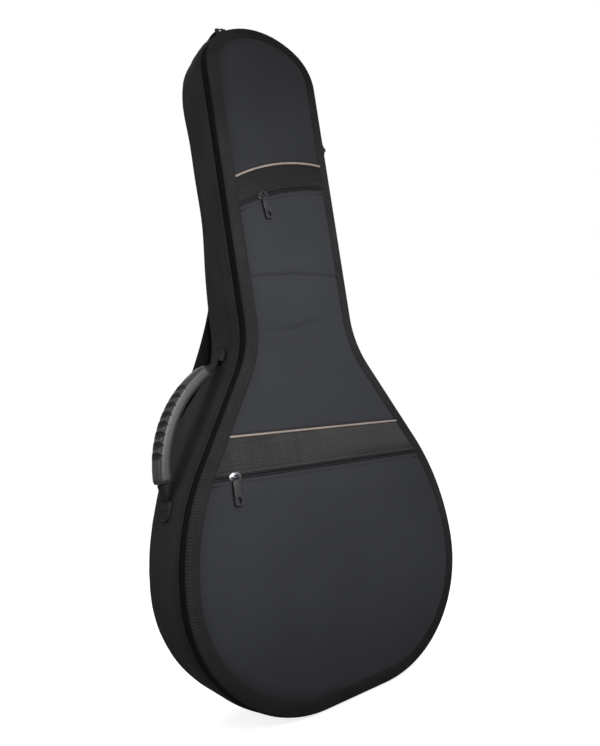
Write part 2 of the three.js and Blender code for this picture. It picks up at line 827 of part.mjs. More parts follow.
function sliders() {
  const pocketGaps = [innerPlateGap, outerPlateGap, innerPlateThickness];
  const mainGaps = [mainInnerGap, mainOuterGap, plateThickness];
  const front = new THREE.Vector3(0, -1, 0);
  const chainY = seamY + pocketCoilMiddle;

  const smallSliderX = waistHalfWidth * smallSliderShare;
  const smallLean = Math.asin((smallSliderX - smallZip.centre.x) / smallZipRadius);
  const smallAlong = new THREE.Vector3(Math.cos(smallLean), 0, -Math.sin(smallLean));
  const smallPlace = new THREE.Vector3(smallSliderX, chainY, smallZip.heightAt(smallSliderX));
  placeSlider("small_zip", smallPlace, smallAlong, front, 1, pocketGaps, smallPullLean);

  const largeSliderX = bodyHalfWidth * largeSliderShare;
  const largeAlong = new THREE.Vector3(1, 0, largeZipSlope).normalize();
  const largePlace = new THREE.Vector3(largeSliderX, chainY, largeZip.heightAt(largeSliderX));
  placeSlider("large_zip", largePlace, largeAlong, front, 1, pocketGaps, 0);

  const topOut = new THREE.Vector3(Math.sin(topSliderAngle), 0, Math.cos(topSliderAngle));
  const topPlace = new THREE.Vector3(0, seamY, crownFillet.centre.y);
  topPlace.addScaledVector(topOut, crownFillet.radius);
  const topAlong = new THREE.Vector3(-topOut.z, 0, topOut.x);
  placeSlider("main_zip_top", topPlace, topAlong, topOut, -1, mainGaps, 0);

  const neckLine = headCorner.clone().sub(waistCorner);
  const onNeck = waistCorner.clone().addScaledVector(neckLine, sideSliderNeckShare);
  const sidePlace = new THREE.Vector3(right * onNeck.x, seamY, onNeck.y);
  const sideAlong = new THREE.Vector3(right * neckLine.x, 0, neckLine.y).normalize();
  const sideOut = new THREE.Vector3(sideAlong.z, 0, -sideAlong.x);
  placeSlider("main_zip_side", sidePlace, sideAlong, sideOut, -1, mainGaps, 0);
}

// Side handle. Its pivots lie just off the wall, and its frame runs from the upper to the lower one.
const flareMiddle =
  (shoulderCorner.y + shoulderRadius * Math.tan(flareAngle / 2) * Math.cos(flareAngle)) / 2 +
  (waistCorner.y - waistRadius * Math.tan(flareAngle / 2) * Math.cos(flareAngle)) / 2;
const pivotSpan = handleHalfSpan * Math.cos(flareAngle);
const upperPivotHeight = flareMiddle + handleRise + pivotSpan;
const lowerPivotHeight = flareMiddle + handleRise - pivotSpan;
const pivotAt = (z) => wallPoint(stopAt(z, left), wallBulge + pivotHeight, at(handleBack));
const upperPivot = pivotAt(upperPivotHeight);
const lowerPivot = pivotAt(lowerPivotHeight);
const handleMiddle = upperPivot.clone().add(lowerPivot).multiplyScalar(0.5);
const handleAlong = lowerPivot.clone().sub(upperPivot).normalize();
const handleOut = new THREE.Vector3(handleAlong.z, 0, -handleAlong.x);
const halfSpan = upperPivot.distanceTo(lowerPivot) / 2;

const handlePoint = (along, across, out) =>
  new THREE.Vector3(0, across, 0)
    .add(handleMiddle)
    .addScaledVector(handleAlong, along)
    .addScaledVector(handleOut, out);

// Sections along the grip's arc, with `profile` given as [across, outwards] pairs
function alongGrip(profile, overrun) {
  const half = Math.asin(gripHalfChord / gripRadius);
  const centreOut = gripTop - gripRadius;
  return Array.from({ length: gripSteps + 1 }, (_, k) => {
    const turn = THREE.MathUtils.lerp(-half, half, k / gripSteps);
    const end = (k === gripSteps ? overrun : 0) - (k === 0 ? overrun : 0);
    return profile.map(([across, rise]) => {
      const r = gripRadius + rise;
      const along = r * Math.sin(turn) + end * Math.cos(turn);
      return handlePoint(along, across, centreOut + r * Math.cos(turn) - end * Math.sin(turn));
    });
  });
}

const rectangle = (width, height) => [
  [-width / 2, -height / 2],
  [width / 2, -height / 2],
  [width / 2, height / 2],
  [-width / 2, height / 2],
];

function handleGrip() {
  const x = gripWidth / 2 - gripCorner;
  const y = gripThickness / 2 - gripCorner;
  const corners = [
    [x, y, 0],
    [-x, y, 90],
    [-x, -y, 180],
    [x, -y, 270],
  ];
  const profile = corners.flatMap(([cx, cy, first]) =>
    [0, 45, 90].map((turn) => {
      const angle = (first + turn) * degree;
      return [cx + gripCorner * Math.cos(angle), cy + gripCorner * Math.sin(angle)];
    }),
  );
  const clear = 2 * gripBoreClearance;
  const bore = rectangle(handleWebWidth + clear, handleWebThickness + clear);
  let grip = solid(skin(alongGrip(profile, 0), false));
  grip = grip.subtract(solid(skin(alongGrip(bore, cutOverrun), false)));
  const pitchAngle = notchPitch / (gripRadius + gripThickness / 2);
  for (let k = 0; k < notchCount; k++) {
    const turn = (k - (notchCount - 1) / 2) * pitchAngle;
    const r = gripRadius + gripThickness / 2 + notchSink;
    const straight = notchLength - 2 * notchRadius;
    const cutter = new THREE.CapsuleGeometry(notchRadius, straight, 2, 8);
    const place = handlePoint(r * Math.sin(turn), 0, gripTop - gripRadius + r * Math.cos(turn));
    cutter.translate(place.x, place.y, place.z);
    grip = grip.subtract(solid(cutter));
  }
  add("handle_grip", geometryOf(grip), rubber);
}

function handleWebbing() {
  const inside = alongGrip(rectangle(handleWebWidth, handleWebThickness), 0);
  const end = (sign) =>
    rectangle(handleWebEndWidth, handleWebThickness).map(([across, rise]) =>
      handlePoint(sign * (halfSpan - webEndGap), across, rise),
    );
  const neck = (sign, from) => {
    const tip = end(sign);
    return from.map((point, k) => point.clone().lerp(tip[k], webNeckShare));
  };
  const sections = [
    end(-1),
    neck(-1, inside[0]),
    ...inside,
    neck(1, inside[inside.length - 1]),
    end(1),
  ];
  add("handle_webbing", skin(sections, false), webbing);
}

// A folded and sewn cloth patch: as high as the pivot at the handle, thin at its far end
function handlePatch(name, from, way) {
  const far = from + way * patchLength * Math.cos(flareAngle);
  const low = Math.min(from, far);
  const high = Math.max(from, far);
  const inner = rightHalf.filter((s) => s.z > low && s.z < high).map((s) => s.z);
  const stops = [low, ...inner, high].map((z) => stopAt(z, left));
  const fold = pivotHeight + handleWebThickness;
  const sections = stops.map((s) => {
    const share = Math.abs(s.z - from) / (high - low);
    const top = wallBulge + THREE.MathUtils.lerp(fold, patchEdge, Math.sqrt(share));
    const under = wallBulge + seatGap;
    const half = patchWidth / 2;
    const crest = half - patchBevel;
    return [
      wallPoint(s, under, at(handleBack - half)),
      wallPoint(s, under, at(handleBack + half)),
      wallPoint(s, top, at(handleBack + crest)),
      wallPoint(s, top, at(handleBack - crest)),
    ];
  });
  add(name, skin(sections, false), sideCloth);
}

// A point on the bag's back: across, up, and so far off its cloth
const backPoint = (x, z, rise) => new THREE.Vector3(x, seamY + depthAt(z) + backFace + rise, z);

// A flat ribbon that follows a side view route of [along, rise] pairs
function ribbon(route, width, thickness, place) {
  const sections = route.map(([along, rise], i) => {
    const [a0, r0] = route[Math.max(i - 1, 0)];
    const [a1, r1] = route[Math.min(i + 1, route.length - 1)];
    const way = new THREE.Vector2(a1 - a0, r1 - r0).normalize();
    return rectangle(width, thickness).map(([across, up]) =>
      place(along - way.y * up, across, rise + way.x * up),
    );
  });
  return skin(sections, false);
}

// A flat plate on the back: rows of [along, half width], between two rises
function plate(rows, low, high, place) {
  const sections = rows.map(([along, half]) => [
    place(along, -half, low),
    place(along, half, low),
    place(along, half, high),
    place(along, -half, high),
  ]);
  return skin(sections, false);
}

const padTopHeight = neckAt(padTopShare);
const yokeLow = padTopHeight + yokeGap;

function strapYoke() {
  const rows = [
    [yokeLow, yokeWidth / 2],
    [yokeLow + neckLength * yokeHeightShare, yokeWidth / 2 - yokeThickness],
  ];
  const onBack = (z, x, rise) => backPoint(x, z, rise);
  add("strap_yoke", plate(rows, seatGap, seatGap + yokeThickness, onBack), sideCloth);
}

function shoulderStrap(side, word) {
  const padEnd = new THREE.Vector2(bodyHalfWidth * padEndShare, padEndHeight);
  const strapEnd = new THREE.Vector2(bodyHalfWidth * strapEndShare, strapEndHeight);
  const tailWay = strapEnd.clone().sub(padEnd).normalize();
  const curve = new THREE.CubicBezierCurve(
    new THREE.Vector2(padTopX, padTopHeight),
    new THREE.Vector2(padTopX, padTopHeight - padTopRun),
    padEnd.clone().addScaledVector(tailWay, -padEndRun),
    padEnd,
  );
  const half = padWidth / 2;
  const low = seatGap;
  const high = seatGap + padThickness;
  const profile = [
    [-half + padEdge, low],
    [half - padEdge, low],
    [half, low + padEdge],
    [half, high - padEdge],
    [half - 2 * padEdge, high],
    [-half + 2 * padEdge, high],
    [-half, high - padEdge],
    [-half, low + padEdge],
  ];
  const sections = Array.from({ length: padSteps + 1 }, (_, k) => {
    const p = curve.getPoint(k / padSteps);
    const way = curve.getTangent(k / padSteps);
    return profile.map(([across, rise]) =>
      backPoint(side * (p.x - way.y * across), p.y + way.x * across, rise),
    );
  });
  add("strap_pad_" + word, skin(sections, false), cloth);

  const onTail = (along, across, rise) => {
    const p = padEnd.clone().addScaledVector(tailWay, along);
    return backPoint(side * (p.x - tailWay.y * across), p.y + tailWay.x * across, rise);
  };
  const tail = strapEnd.distanceTo(padEnd);
  buckle(word, onTail);
  strapWebbing(word, tail, onTail);
  const rows = [
    [tail, anchorTopWidth / 2],
    [tail + anchorLength, anchorEndWidth / 2],
  ];
  const anchor = plate(rows, seatGap, seatGap + anchorThickness, onTail);
  add("strap_anchor_" + word, anchor, sideCloth);
}

// Ladder-lock: a frame with two slots and a bar between them, hung on a short webbing loop
const freeTail = seatGap + webThickness + 2 * seatGap + webThickness / 2;
const buckleLow = freeTail + webThickness / 2 + seatGap;
const buckleHigh = buckleLow + buckleThickness;
const middleBarStart = buckleStart + buckleBar + upperSlot;
const buckleEnd = middleBarStart + middleBar + lowerSlot + buckleBar;

function buckle(word, onTail) {
  const frame = [
    [buckleStart, buckleWidth / 2],
    [buckleEnd, buckleWidth / 2],
  ];
  const slot = (start, length) => {
    const rows = [
      [start, buckleSlotWidth / 2],
      [start + length, buckleSlotWidth / 2],
    ];
    return solid(plate(rows, buckleLow - cutOverrun, buckleHigh + cutOverrun, onTail));
  };
  const cut = solid(plate(frame, buckleLow, buckleHigh, onTail))
    .subtract(slot(buckleStart + buckleBar, upperSlot))
    .subtract(slot(middleBarStart + middleBar, lowerSlot));
  add("strap_buckle_" + word, geometryOf(cut), plastic);
  const half = loopThickness / 2;
  const below = buckleLow - seatGap - half;
  const above = buckleHigh + seatGap + half;
  const round = buckleStart + buckleBar + seatGap + half;
  const route = [
    [seatGap, below],
    [round - half, below],
    [round, below + half],
    [round, above - half],
    [round - half, above],
    [seatGap, above],
  ];
  add("strap_buckle_loop_" + word, ribbon(route, webWidth, loopThickness, onTail), webbing);
}

// The webbing comes up from the anchor, over the buckle's middle bar and back down to a free tail
function strapWebbing(word, tail, onTail) {
  const half = webThickness / 2;
  const low = seatGap + half;
  const high = buckleHigh + seatGap + half;
  const up = middleBarStart - seatGap - half;
  const down = middleBarStart + middleBar + seatGap + half;
  const start = tail - seatGap;
  const runs = Array.from({ length: tailRuns }, (_, k) => [
    THREE.MathUtils.lerp(start, up + half, k / (tailRuns - 1)),
    low,
  ]);
  const route = [
    ...runs,
    [up, low + half],
    [up, high - half],
    [up + half, high],
    [down - half, high],
    [down, high - half],
    [down, freeTail + half],
    [down + half, freeTail],
    [buckleEnd + tailLength / 2, freeTail],
    [buckleEnd + tailLength, freeTail],
  ];
  add("strap_webbing_" + word, ribbon(route, webWidth, webThickness, onTail), webbing);
}

function hangLoop() {
  const low = seatGap + webThickness / 2;
  const arch = archShares.map((share) => [
    loopSpan * share,
    low + loopRise * Math.sin(Math.PI * share) ** archFullness,
  ]);
  const route = [[-loopSewn, low], ...arch, [loopSpan + loopSewn, low]];
  const onBack = (along, across, rise) => backPoint(across, loopLow + along, rise);
  add("hang_loop", ribbon(route, webWidth, webThickness, onBack), webbing);
}

sideWall();
backPanel();
mainZip();
zipEndTab("zip_end_tab_upper", hingeHigh + seatGap);
zipEndTab("zip_end_tab_lower", hingeLow - seatGap - endTabLength);
lidCore();
lid();
sliders();
handleGrip();
handleWebbing();
handlePatch("handle_patch_upper", upperPivotHeight, 1);
handlePatch("handle_patch_lower", lowerPivotHeight, -1);
strapYoke();
shoulderStrap(left, "left");
shoulderStrap(right, "right");
hangLoop();

export default bag;
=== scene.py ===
"""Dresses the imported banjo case: padded cloth, coarse woven bands, coil zips, a moulded grip and straps.

Lengths are in millimetres until a mesh is made. The seam line is the closed curve that the main zip follows;
"out" is a distance out of it, "back" a distance behind its plane, and a negative "back" is before it.
"""

import math
from functools import partial

import bpy
import numpy as np
from mathutils import Matrix, Vector


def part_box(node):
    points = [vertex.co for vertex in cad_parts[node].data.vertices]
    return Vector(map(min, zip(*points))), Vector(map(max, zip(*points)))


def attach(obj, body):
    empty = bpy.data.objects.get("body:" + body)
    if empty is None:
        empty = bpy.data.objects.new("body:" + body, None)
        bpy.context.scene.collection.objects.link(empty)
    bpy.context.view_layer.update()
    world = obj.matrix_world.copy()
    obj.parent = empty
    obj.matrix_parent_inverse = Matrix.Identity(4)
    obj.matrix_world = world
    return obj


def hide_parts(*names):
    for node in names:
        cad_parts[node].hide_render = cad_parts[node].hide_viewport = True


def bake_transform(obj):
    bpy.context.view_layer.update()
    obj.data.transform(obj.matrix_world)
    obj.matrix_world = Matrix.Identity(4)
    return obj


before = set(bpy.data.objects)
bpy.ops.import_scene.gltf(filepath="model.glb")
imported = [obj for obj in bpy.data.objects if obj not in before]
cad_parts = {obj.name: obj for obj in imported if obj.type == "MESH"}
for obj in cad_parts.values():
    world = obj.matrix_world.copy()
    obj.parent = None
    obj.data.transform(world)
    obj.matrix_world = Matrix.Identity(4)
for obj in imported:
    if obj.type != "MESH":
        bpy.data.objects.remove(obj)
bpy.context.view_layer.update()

MM = 0.001

# Sizes that the case's solids are built on
CASE_HEIGHT = 820.0
BODY_HALF_WIDTH = 188.0
WIDEST_HEIGHT = 148.0
SHOULDER_RADIUS = 260.0
FLARE = math.radians(30.5)
WAIST_HALF_WIDTH = 77.0
WAIST_RADIUS = 120.0
HEAD_HALF_WIDTH = 79.5
CROWN_RADIUS = 95.0
CROWN = math.radians(36)
SEAM_RISE = 2.5
BODY_DEPTH = 97.0
HEAD_DEPTH = 56.0
TAPER_START = 200.0
TAPER_BLEND = 130.0
SEAM_Y = -BODY_DEPTH / 2
WALL_BULGE = 4.0
FOAM = 10.0
LID_CLOTH = 10.0
PANEL_INSET = 13.8
TAPE = 0.7
CHAIN_BACK = -10.35
HINGE_LOW, HINGE_HIGH = 95.0, 235.0
GRIP_BACK = 49.0
REAR_TAPE_BACK = 7.5

# Sizes of the dressing alone
WALL_HEM = 6.4
COIL_HALF_WIDE, COIL_HALF_HIGH = 1.08, 0.8
MAIN_COIL_PITCH, POCKET_COIL_PITCH = 2.4, 2.1
PIPING_GAP = 1.6
ZIP_CHANNEL = 5.2
HEM_EDGE = 3.0
HEM_HEIGHT, HEM_REACH = 0.8, 3.4
STITCH_PITCH = 3.3

TOWARDS_FRONT = np.array([0.0, -1.0, 0.0])
TOWARDS_BACK = np.array([0.0, 1.0, 0.0])


def unit(v):
    """Vectors brought to length 1."""
    return v / np.linalg.norm(v, axis=-1, keepdims=True)


def smooth(t):
    """0 below 0, 1 above 1, and 3t^2 - 2t^3 between."""
    t = np.clip(t, 0, 1)
    return t * t * (3 - 2 * t)


def bump(t):
    """A bell: exp(-t^2)."""
    return np.exp(-np.square(t))


def power(v, exponent):
    """A power that keeps the sign: on a cosine and a sine it squares a circle up into a rounded box."""
    return np.sign(v) * np.abs(v) ** exponent


def turns(count):
    """Angles once round a circle, each listed once."""
    return np.arange(count) * 2 * math.pi / count


def run_along(path):
    """Length along a path up to each of its points."""
    return np.concatenate([[0], np.cumsum(np.linalg.norm(np.diff(path, axis=0), axis=1))])


def folds(u, v, cell_u, cell_v, seed, period=None):
    """Soft random relief from -1 to 1: heights on a lattice of cells, joined by a smooth step both ways."""
    heights = np.random.default_rng(seed).uniform(-1, 1, (513, 257))
    across = 513 if period is None else max(3, round(period / cell_u))
    a = np.asarray(u) / (cell_u if period is None else period / across)
    b = np.asarray(v) / cell_v + 64
    a, b = np.broadcast_arrays(a, b)
    i, j = np.floor(a).astype(int), np.floor(b).astype(int)
    s, t = smooth(a - i), smooth(b - j)
    i0, i1, j0, j1 = i % across, (i + 1) % across, j % 257, (j + 1) % 257
    low = heights[i0, j0] * (1 - s) + heights[i1, j0] * s
    high = heights[i0, j1] * (1 - s) + heights[i1, j1] * s
    return low * (1 - t) + high * t


# The seam line and the case's depth


def fillet(before, corner, after, radius):
    """The arc that rounds a corner: it leaves the first line radius * tan(half the turn) before the corner."""
    way_in, way_out = unit(corner - before), unit(after - corner)
    turn = math.atan2(way_in[0] * way_out[1] - way_in[1] * way_out[0], way_in @ way_out)
    out = np.array([way_in[1], -way_in[0]])
    start = corner - way_in * radius * math.tan(abs(turn) / 2)
    centre = start - np.sign(turn) * radius * out
    angle = np.linspace(0, turn, max(12, int(abs(turn) * radius)))
    c, s = np.cos(angle), np.sin(angle)
    away = np.stack([out[0] * c - out[1] * s, out[0] * s + out[1] * c], -1)
    return centre + np.sign(turn) * radius * away


def seam_corners():
    """Corners of the seam line's right half with the radius that rounds each."""
    shoulder_z = WIDEST_HEIGHT + SHOULDER_RADIUS * math.tan(FLARE / 2)
    waist_z = shoulder_z + (BODY_HALF_WIDTH - WAIST_HALF_WIDTH) / math.tan(FLARE)
    crown_x = CROWN_RADIUS * math.tan(CROWN / 2)
    head_z = CASE_HEIGHT - (HEAD_HALF_WIDTH - crown_x) * math.tan(CROWN)
    run = math.hypot(HEAD_HALF_WIDTH - crown_x, CASE_HEIGHT - head_z) - crown_x
    head_radius = run / math.tan((math.pi / 2 - CROWN) / 2) - 0.3
    return [
        (np.array([BODY_HALF_WIDTH, SEAM_RISE]), WIDEST_HEIGHT - SEAM_RISE),
        (np.array([BODY_HALF_WIDTH, shoulder_z]), SHOULDER_RADIUS),
        (np.array([WAIST_HALF_WIDTH, waist_z]), WAIST_RADIUS),
        (np.array([HEAD_HALF_WIDTH, head_z]), head_radius),
        (np.array([crown_x, CASE_HEIGHT]), CROWN_RADIUS),
    ]


SHOULDER, WAIST, HEAD = (corner for corner, _ in seam_corners()[1:4])


class Line:
    """A plane curve as arrays: x, z, the unit way out nx, nz, and the length s along it."""

    def __init__(self, x, z, nx, nz, s):
        self.x, self.z, self.nx, self.nz, self.s = x, z, nx, nz, s

    def part(self, rows):
        """The points of the line that are picked out by rows."""
        return Line(*(a[rows] for a in (self.x, self.z, self.nx, self.nz, self.s)))

    def inset(self, by):
        """The line moved inwards, by one distance or by one for each point."""
        return Line(self.x - self.nx * by, self.z - self.nz * by, self.nx, self.nz, self.s)

    def along(self):
        """The unit way along the line, a quarter turn from the way out."""
        return np.stack([-self.nz, 0 * self.nx, self.nx], -1)


def seam_line(spacing):
    """The whole seam line from the middle of the bottom, up the right and down the left, in even steps."""
    corners = seam_corners()
    start, end = np.array([0.0, SEAM_RISE]), np.array([0.0, CASE_HEIGHT])
    stops = [start, *(corner for corner, _ in corners), end]
    arcs = [fillet(stops[i], corner, stops[i + 2], radius) for i, (corner, radius) in enumerate(corners)]
    half = np.concatenate([start[None], *arcs, end[None]])
    left = (half * np.array([-1.0, 1.0]))[::-1][1:]
    loop = np.concatenate([half, left])
    loop = loop[np.concatenate([[True], np.linalg.norm(np.diff(loop, axis=0), axis=1) > 1e-6])]
    run = run_along(loop)
    count = int(round(run[-1] / spacing / 2)) * 2
    s = np.arange(count) * run[-1] / count
    x, z = np.interp(s, run, loop[:, 0]), np.interp(s, run, loop[:, 1])
    way = unit(np.stack([np.roll(x, -1) - np.roll(x, 1), np.roll(z, -1) - np.roll(z, 1)], -1))
    return Line(x, z, way[:, 1], -way[:, 0], s)


SEAM = seam_line(1.6)
SEAM_LENGTH = SEAM.s[-1] + SEAM.s[1]
HALF = SEAM.part(slice(0, len(SEAM.x) // 2 + 1))
EDGE = np.stack([SEAM.x, SEAM.z], -1)[::2]


def depth_at(z):
    """Depth of the side wall: full up to the taper, a parabola into it, then a straight slope to the head."""
    slope = (BODY_DEPTH - HEAD_DEPTH) / (CASE_HEIGHT - TAPER_START - TAPER_BLEND / 2)
    past = np.asarray(z, float) - TAPER_START
    bend = slope * np.square(past) / (2 * TAPER_BLEND)
    fallen = np.where(past < TAPER_BLEND, bend, slope * (past - TAPER_BLEND / 2))
    return BODY_DEPTH - np.where(past < 0, 0, fallen)


def swell(z):
    """How far the back edge stands out of the seam line: fuller at shoulders and head, drawn in between."""
    return 10.8 * bump((z - 324) / 54) - 4.2 * bump((z - 585) / 55) + 4.4 * bump((z - 735) / 34)


def edge_distance(x, z):
    """Distance of each point from the seam line, the least over its points."""
    points = np.stack([np.ravel(x), np.ravel(z)], -1)
    batches = np.array_split(points, max(1, len(points) // 4000))
    found = [np.sqrt(((batch[:, None] - EDGE[None]) ** 2).sum(-1).min(1)) for batch in batches]
    return np.concatenate(found).reshape(np.shape(x))


def half_width(z, inset):
    """Half of the width inside the seam line at a height, less an inset."""
    line = HALF.inset(inset)
    rows = np.concatenate([[True], np.diff(line.z) > 1e-4])
    return np.interp(z, line.z[rows], np.maximum(line.x[rows], 0))


def wall(line, out, back, least=0.0):
    """Points so far out of a line and so far back, rows along it and columns across, none under `least`."""
    out, back = np.broadcast_arrays(*(np.asarray(a, float) for a in (out, back)))
    shape = (len(line.x), out.shape[-1])
    out, back = np.broadcast_to(out, shape), np.broadcast_to(back, shape)
    x = line.x[:, None] + line.nx[:, None] * out
    z = np.maximum(line.z[:, None] + line.nz[:, None] * out, least)
    return np.stack([x, SEAM_Y + back, z], -1)


def columns(*parts):
    """Columns side by side; a part is a grid, a single column, or one row that is repeated down them."""
    parts = [np.atleast_2d(part) for part in parts]
    rows = max(len(part) for part in parts)
    return np.concatenate([np.broadcast_to(part, (rows, part.shape[1])) for part in parts], 1)


def oval(count, half_wide, half_high, soft_x=1.0, soft_y=1.0):
    """Points round a superellipse: half_wide * cos^soft_x across and half_high * sin^soft_y up, signs kept."""
    turn = turns(count)
    return np.stack([half_wide * power(np.cos(turn), soft_x), half_high * power(np.sin(turn), soft_y)], -1)


# Meshes


def new_mesh(name, points, loops, starts):
    """A mesh from points, the corners of its faces one face after another, and where each face starts."""
    mesh = bpy.data.meshes.new(name)
    mesh.vertices.add(len(points))
    mesh.vertices.foreach_set("co", (points * MM).astype(np.float32).ravel())
    mesh.loops.add(len(loops))
    mesh.loops.foreach_set("vertex_index", loops.astype(np.int32))
    mesh.polygons.add(len(starts))
    mesh.polygons.foreach_set("loop_start", starts.astype(np.int32))
    mesh.update(calc_edges=True)
    return mesh


def new_piece(name, mesh, sharp=None):
    """The smooth-shaded piece of a mesh; edges over the angle `sharp` stay sharp."""
    mesh.validate()
    mesh.shade_smooth()
    if sharp is not None:
        mesh.set_sharp_from_angle(angle=math.radians(sharp))
    piece = bpy.data.objects.new(name, mesh)
    bpy.context.scene.collection.objects.link(piece)
    return piece


def surface(name, points, around=False, across=False, uv=None, sharp=50):
    """A mesh from a grid of points, rows by columns. A direction that closes on itself has no rim; an open end
    row of a closed tube gets a flat cap. The faces are turned so that the closed volume is positive."""
    rows, cols = points.shape[:2]
    i, j = np.meshgrid(
        np.arange(rows if around else rows - 1), np.arange(cols if across else cols - 1), indexing="ij"
    )
    i2, j2 = (i + 1) % rows, (j + 1) % cols
    quads = np.stack([i * cols + j, i2 * cols + j, i2 * cols + j2, i * cols + j2], -1).reshape(-1, 4)
    flat = points.reshape(-1, 3)
    a, b, c, d = (flat[quads[:, k]] for k in range(4))
    volume = np.einsum("ij,ij->", a, np.cross(b, c)) + np.einsum("ij,ij->", a, np.cross(c, d))
    loops = quads.ravel()
    starts = np.arange(len(quads)) * 4
    if uv is None:
        uv = np.stack(np.meshgrid(np.arange(rows + 1.0), np.arange(cols + 1.0), indexing="ij"), -1)
    spread = np.stack([uv[i, j], uv[i + 1, j], uv[i + 1, j + 1], uv[i, j + 1]], 2).reshape(-1, 2)
    if across and not around:
        column = np.arange(cols)
        loops = np.concatenate([loops, column, ((rows - 1) * cols + column)[::-1]])
        starts = np.concatenate([starts, [len(quads) * 4, len(quads) * 4 + cols]])
        spread = np.concatenate([spread, uv[0, column], uv[rows - 1, column[::-1]]])
    mesh = new_mesh(name, flat, loops, starts)
    layer = mesh.uv_layers.new(name="cloth")
    layer.data.foreach_set("uv", (spread * MM).astype(np.float32).ravel())
    if volume < 0:
        mesh.flip_normals()
    return new_piece(name, mesh, sharp)


def mark(piece, label, values):
    """A number on every point of a grid piece, which its material reads by name."""
    layer = piece.data.attributes.new(label, "FLOAT", "POINT")
    layer.data.foreach_set("value", np.asarray(values, np.float32).ravel())


def dress(piece, body, material, replaced=()):
    """Gives a piece its material and its body, and hides the solids that it stands for."""
    piece.data.materials.clear()
    piece.data.materials.append(material)
    if body:
        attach(piece, body)
    if replaced:
        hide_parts(*replaced)
    return piece


def grid_uv(along, across):
    """UV in millimetres for a grid: `along` per row and `across` per column, each one longer than the grid."""
    along, across = np.asarray(along, float), np.asarray(across, float)
    return np.stack(np.broadcast_arrays(along[:, None], across), -1)


def extended(a):
    """An array with one more entry at its end, a step further."""
    return np.append(a, 2 * a[-1] - a[-2])


def tube_uv(along, across):
    """UV in millimetres for a tube: lengths along its rows, and places round its section, which closes."""
    return grid_uv(extended(along), np.append(across, across[0]))


def girth(points):
    """Length along the columns of the middle row, with the closing step."""
    row = points[len(points) // 2]
    return run_along(np.concatenate([row, row[:1]]))


def ring(name, out, back, least=0.0, line=SEAM, closed=True):
    """A band along the seam line whose closed section is given by out and back."""
    points = wall(line, out, back, least)
    return surface(name, points, around=closed, across=True, uv=grid_uv(extended(line.s), girth(points)))


def rounded_section(width, height, corner, count=4):
    """A rectangle with rounded corners, centred, as [across, up] pairs turning left."""
    quarter = np.linspace(0, math.pi / 2, count)
    angle = np.concatenate([quarter + k * math.pi / 2 for k in range(4)])
    signs = np.repeat(np.array([[1, 1], [-1, 1], [-1, -1], [1, -1]]), count, axis=0)
    box = np.array([width / 2 - corner, height / 2 - corner])
    return signs * box + corner * np.stack([np.cos(angle), np.sin(angle)], -1)


def stitches(name, place, way, up, length, radius):
    """A row of sewn stitches: each is a short thread that dives at both ends, six-sided, with five rings."""
    t = np.array([-0.5, -0.36, 0, 0.36, 0.5])
    thick = np.array([0.35, 0.95, 1.1, 0.95, 0.35]) * radius
    lift = np.array([-1.3, -0.1, 0.25, -0.1, -1.3]) * radius
    turn = turns(6)
    way, up = unit(way), unit(np.broadcast_to(up, place.shape))
    side = np.cross(up, way)
    centre = place[:, None] + way[:, None] * (t * length)[:, None] + up[:, None] * lift[:, None]
    spokes = side[:, None, None] * np.cos(turn)[:, None] + up[:, None, None] * np.sin(turn)[:, None]
    points = (centre[:, :, None] + spokes * thick[:, None, None]).reshape(-1, 3)
    base = np.arange(len(place)) * 30
    i, j = np.meshgrid(np.arange(4), np.arange(6), indexing="ij")
    i2, j2 = i + 1, (j + 1) % 6
    quad = np.stack([i * 6 + j, i * 6 + j2, i2 * 6 + j2, i2 * 6 + j], -1).reshape(1, -1, 4)
    quads = (base[:, None, None] + quad).reshape(-1, 4)
    ends = (base[:, None] + np.concatenate([np.arange(6)[::-1], 24 + np.arange(6)])[None]).reshape(-1, 6)
    loops = np.concatenate([quads.ravel(), ends.ravel()])
    starts = np.concatenate([np.arange(len(quads)) * 4, len(quads) * 4 + np.arange(len(ends)) * 6])
    return new_piece(name, new_mesh(name, points, loops, starts))


def sew(name, rows, up, length, radius, body, ways=None):
    """Stitches along several rows of points, each laid along its row or along the ways given."""
    if ways is None:
        ways = [unit(np.gradient(row, axis=0)) for row in rows]
    piece = stitches(name, np.concatenate(rows), np.concatenate(ways), up, length, radius)
    dress(piece, body, THREAD)


# Shader groups


def new_group(name, inputs, outputs):
    """An empty shader group with a vector input, number inputs with their values, and number outputs."""
    group = bpy.data.node_groups.new(name, "ShaderNodeTree")
    group.interface.new_socket("Vector", in_out="INPUT", socket_type="NodeSocketVector")
    for label, value in inputs.items():
        group.interface.new_socket(label, in_out="INPUT", socket_type="NodeSocketFloat").default_value = value
    for label in outputs:
        group.interface.new_socket(label, in_out="OUTPUT", socket_type="NodeSocketFloat")
    return group, group.nodes.new("NodeGroupInput"), group.nodes.new("NodeGroupOutput")


def math_node(tree, operation, *values):
    """One step of arithmetic in a node tree, on numbers and sockets."""
    node = tree.nodes.new("ShaderNodeMath")
    node.operation = operation
    for socket, value in zip(node.inputs, values):
        if isinstance(value, (int, float)):
            socket.default_value = value
        else:
            tree.links.new(value, socket)
    return node.outputs[0]


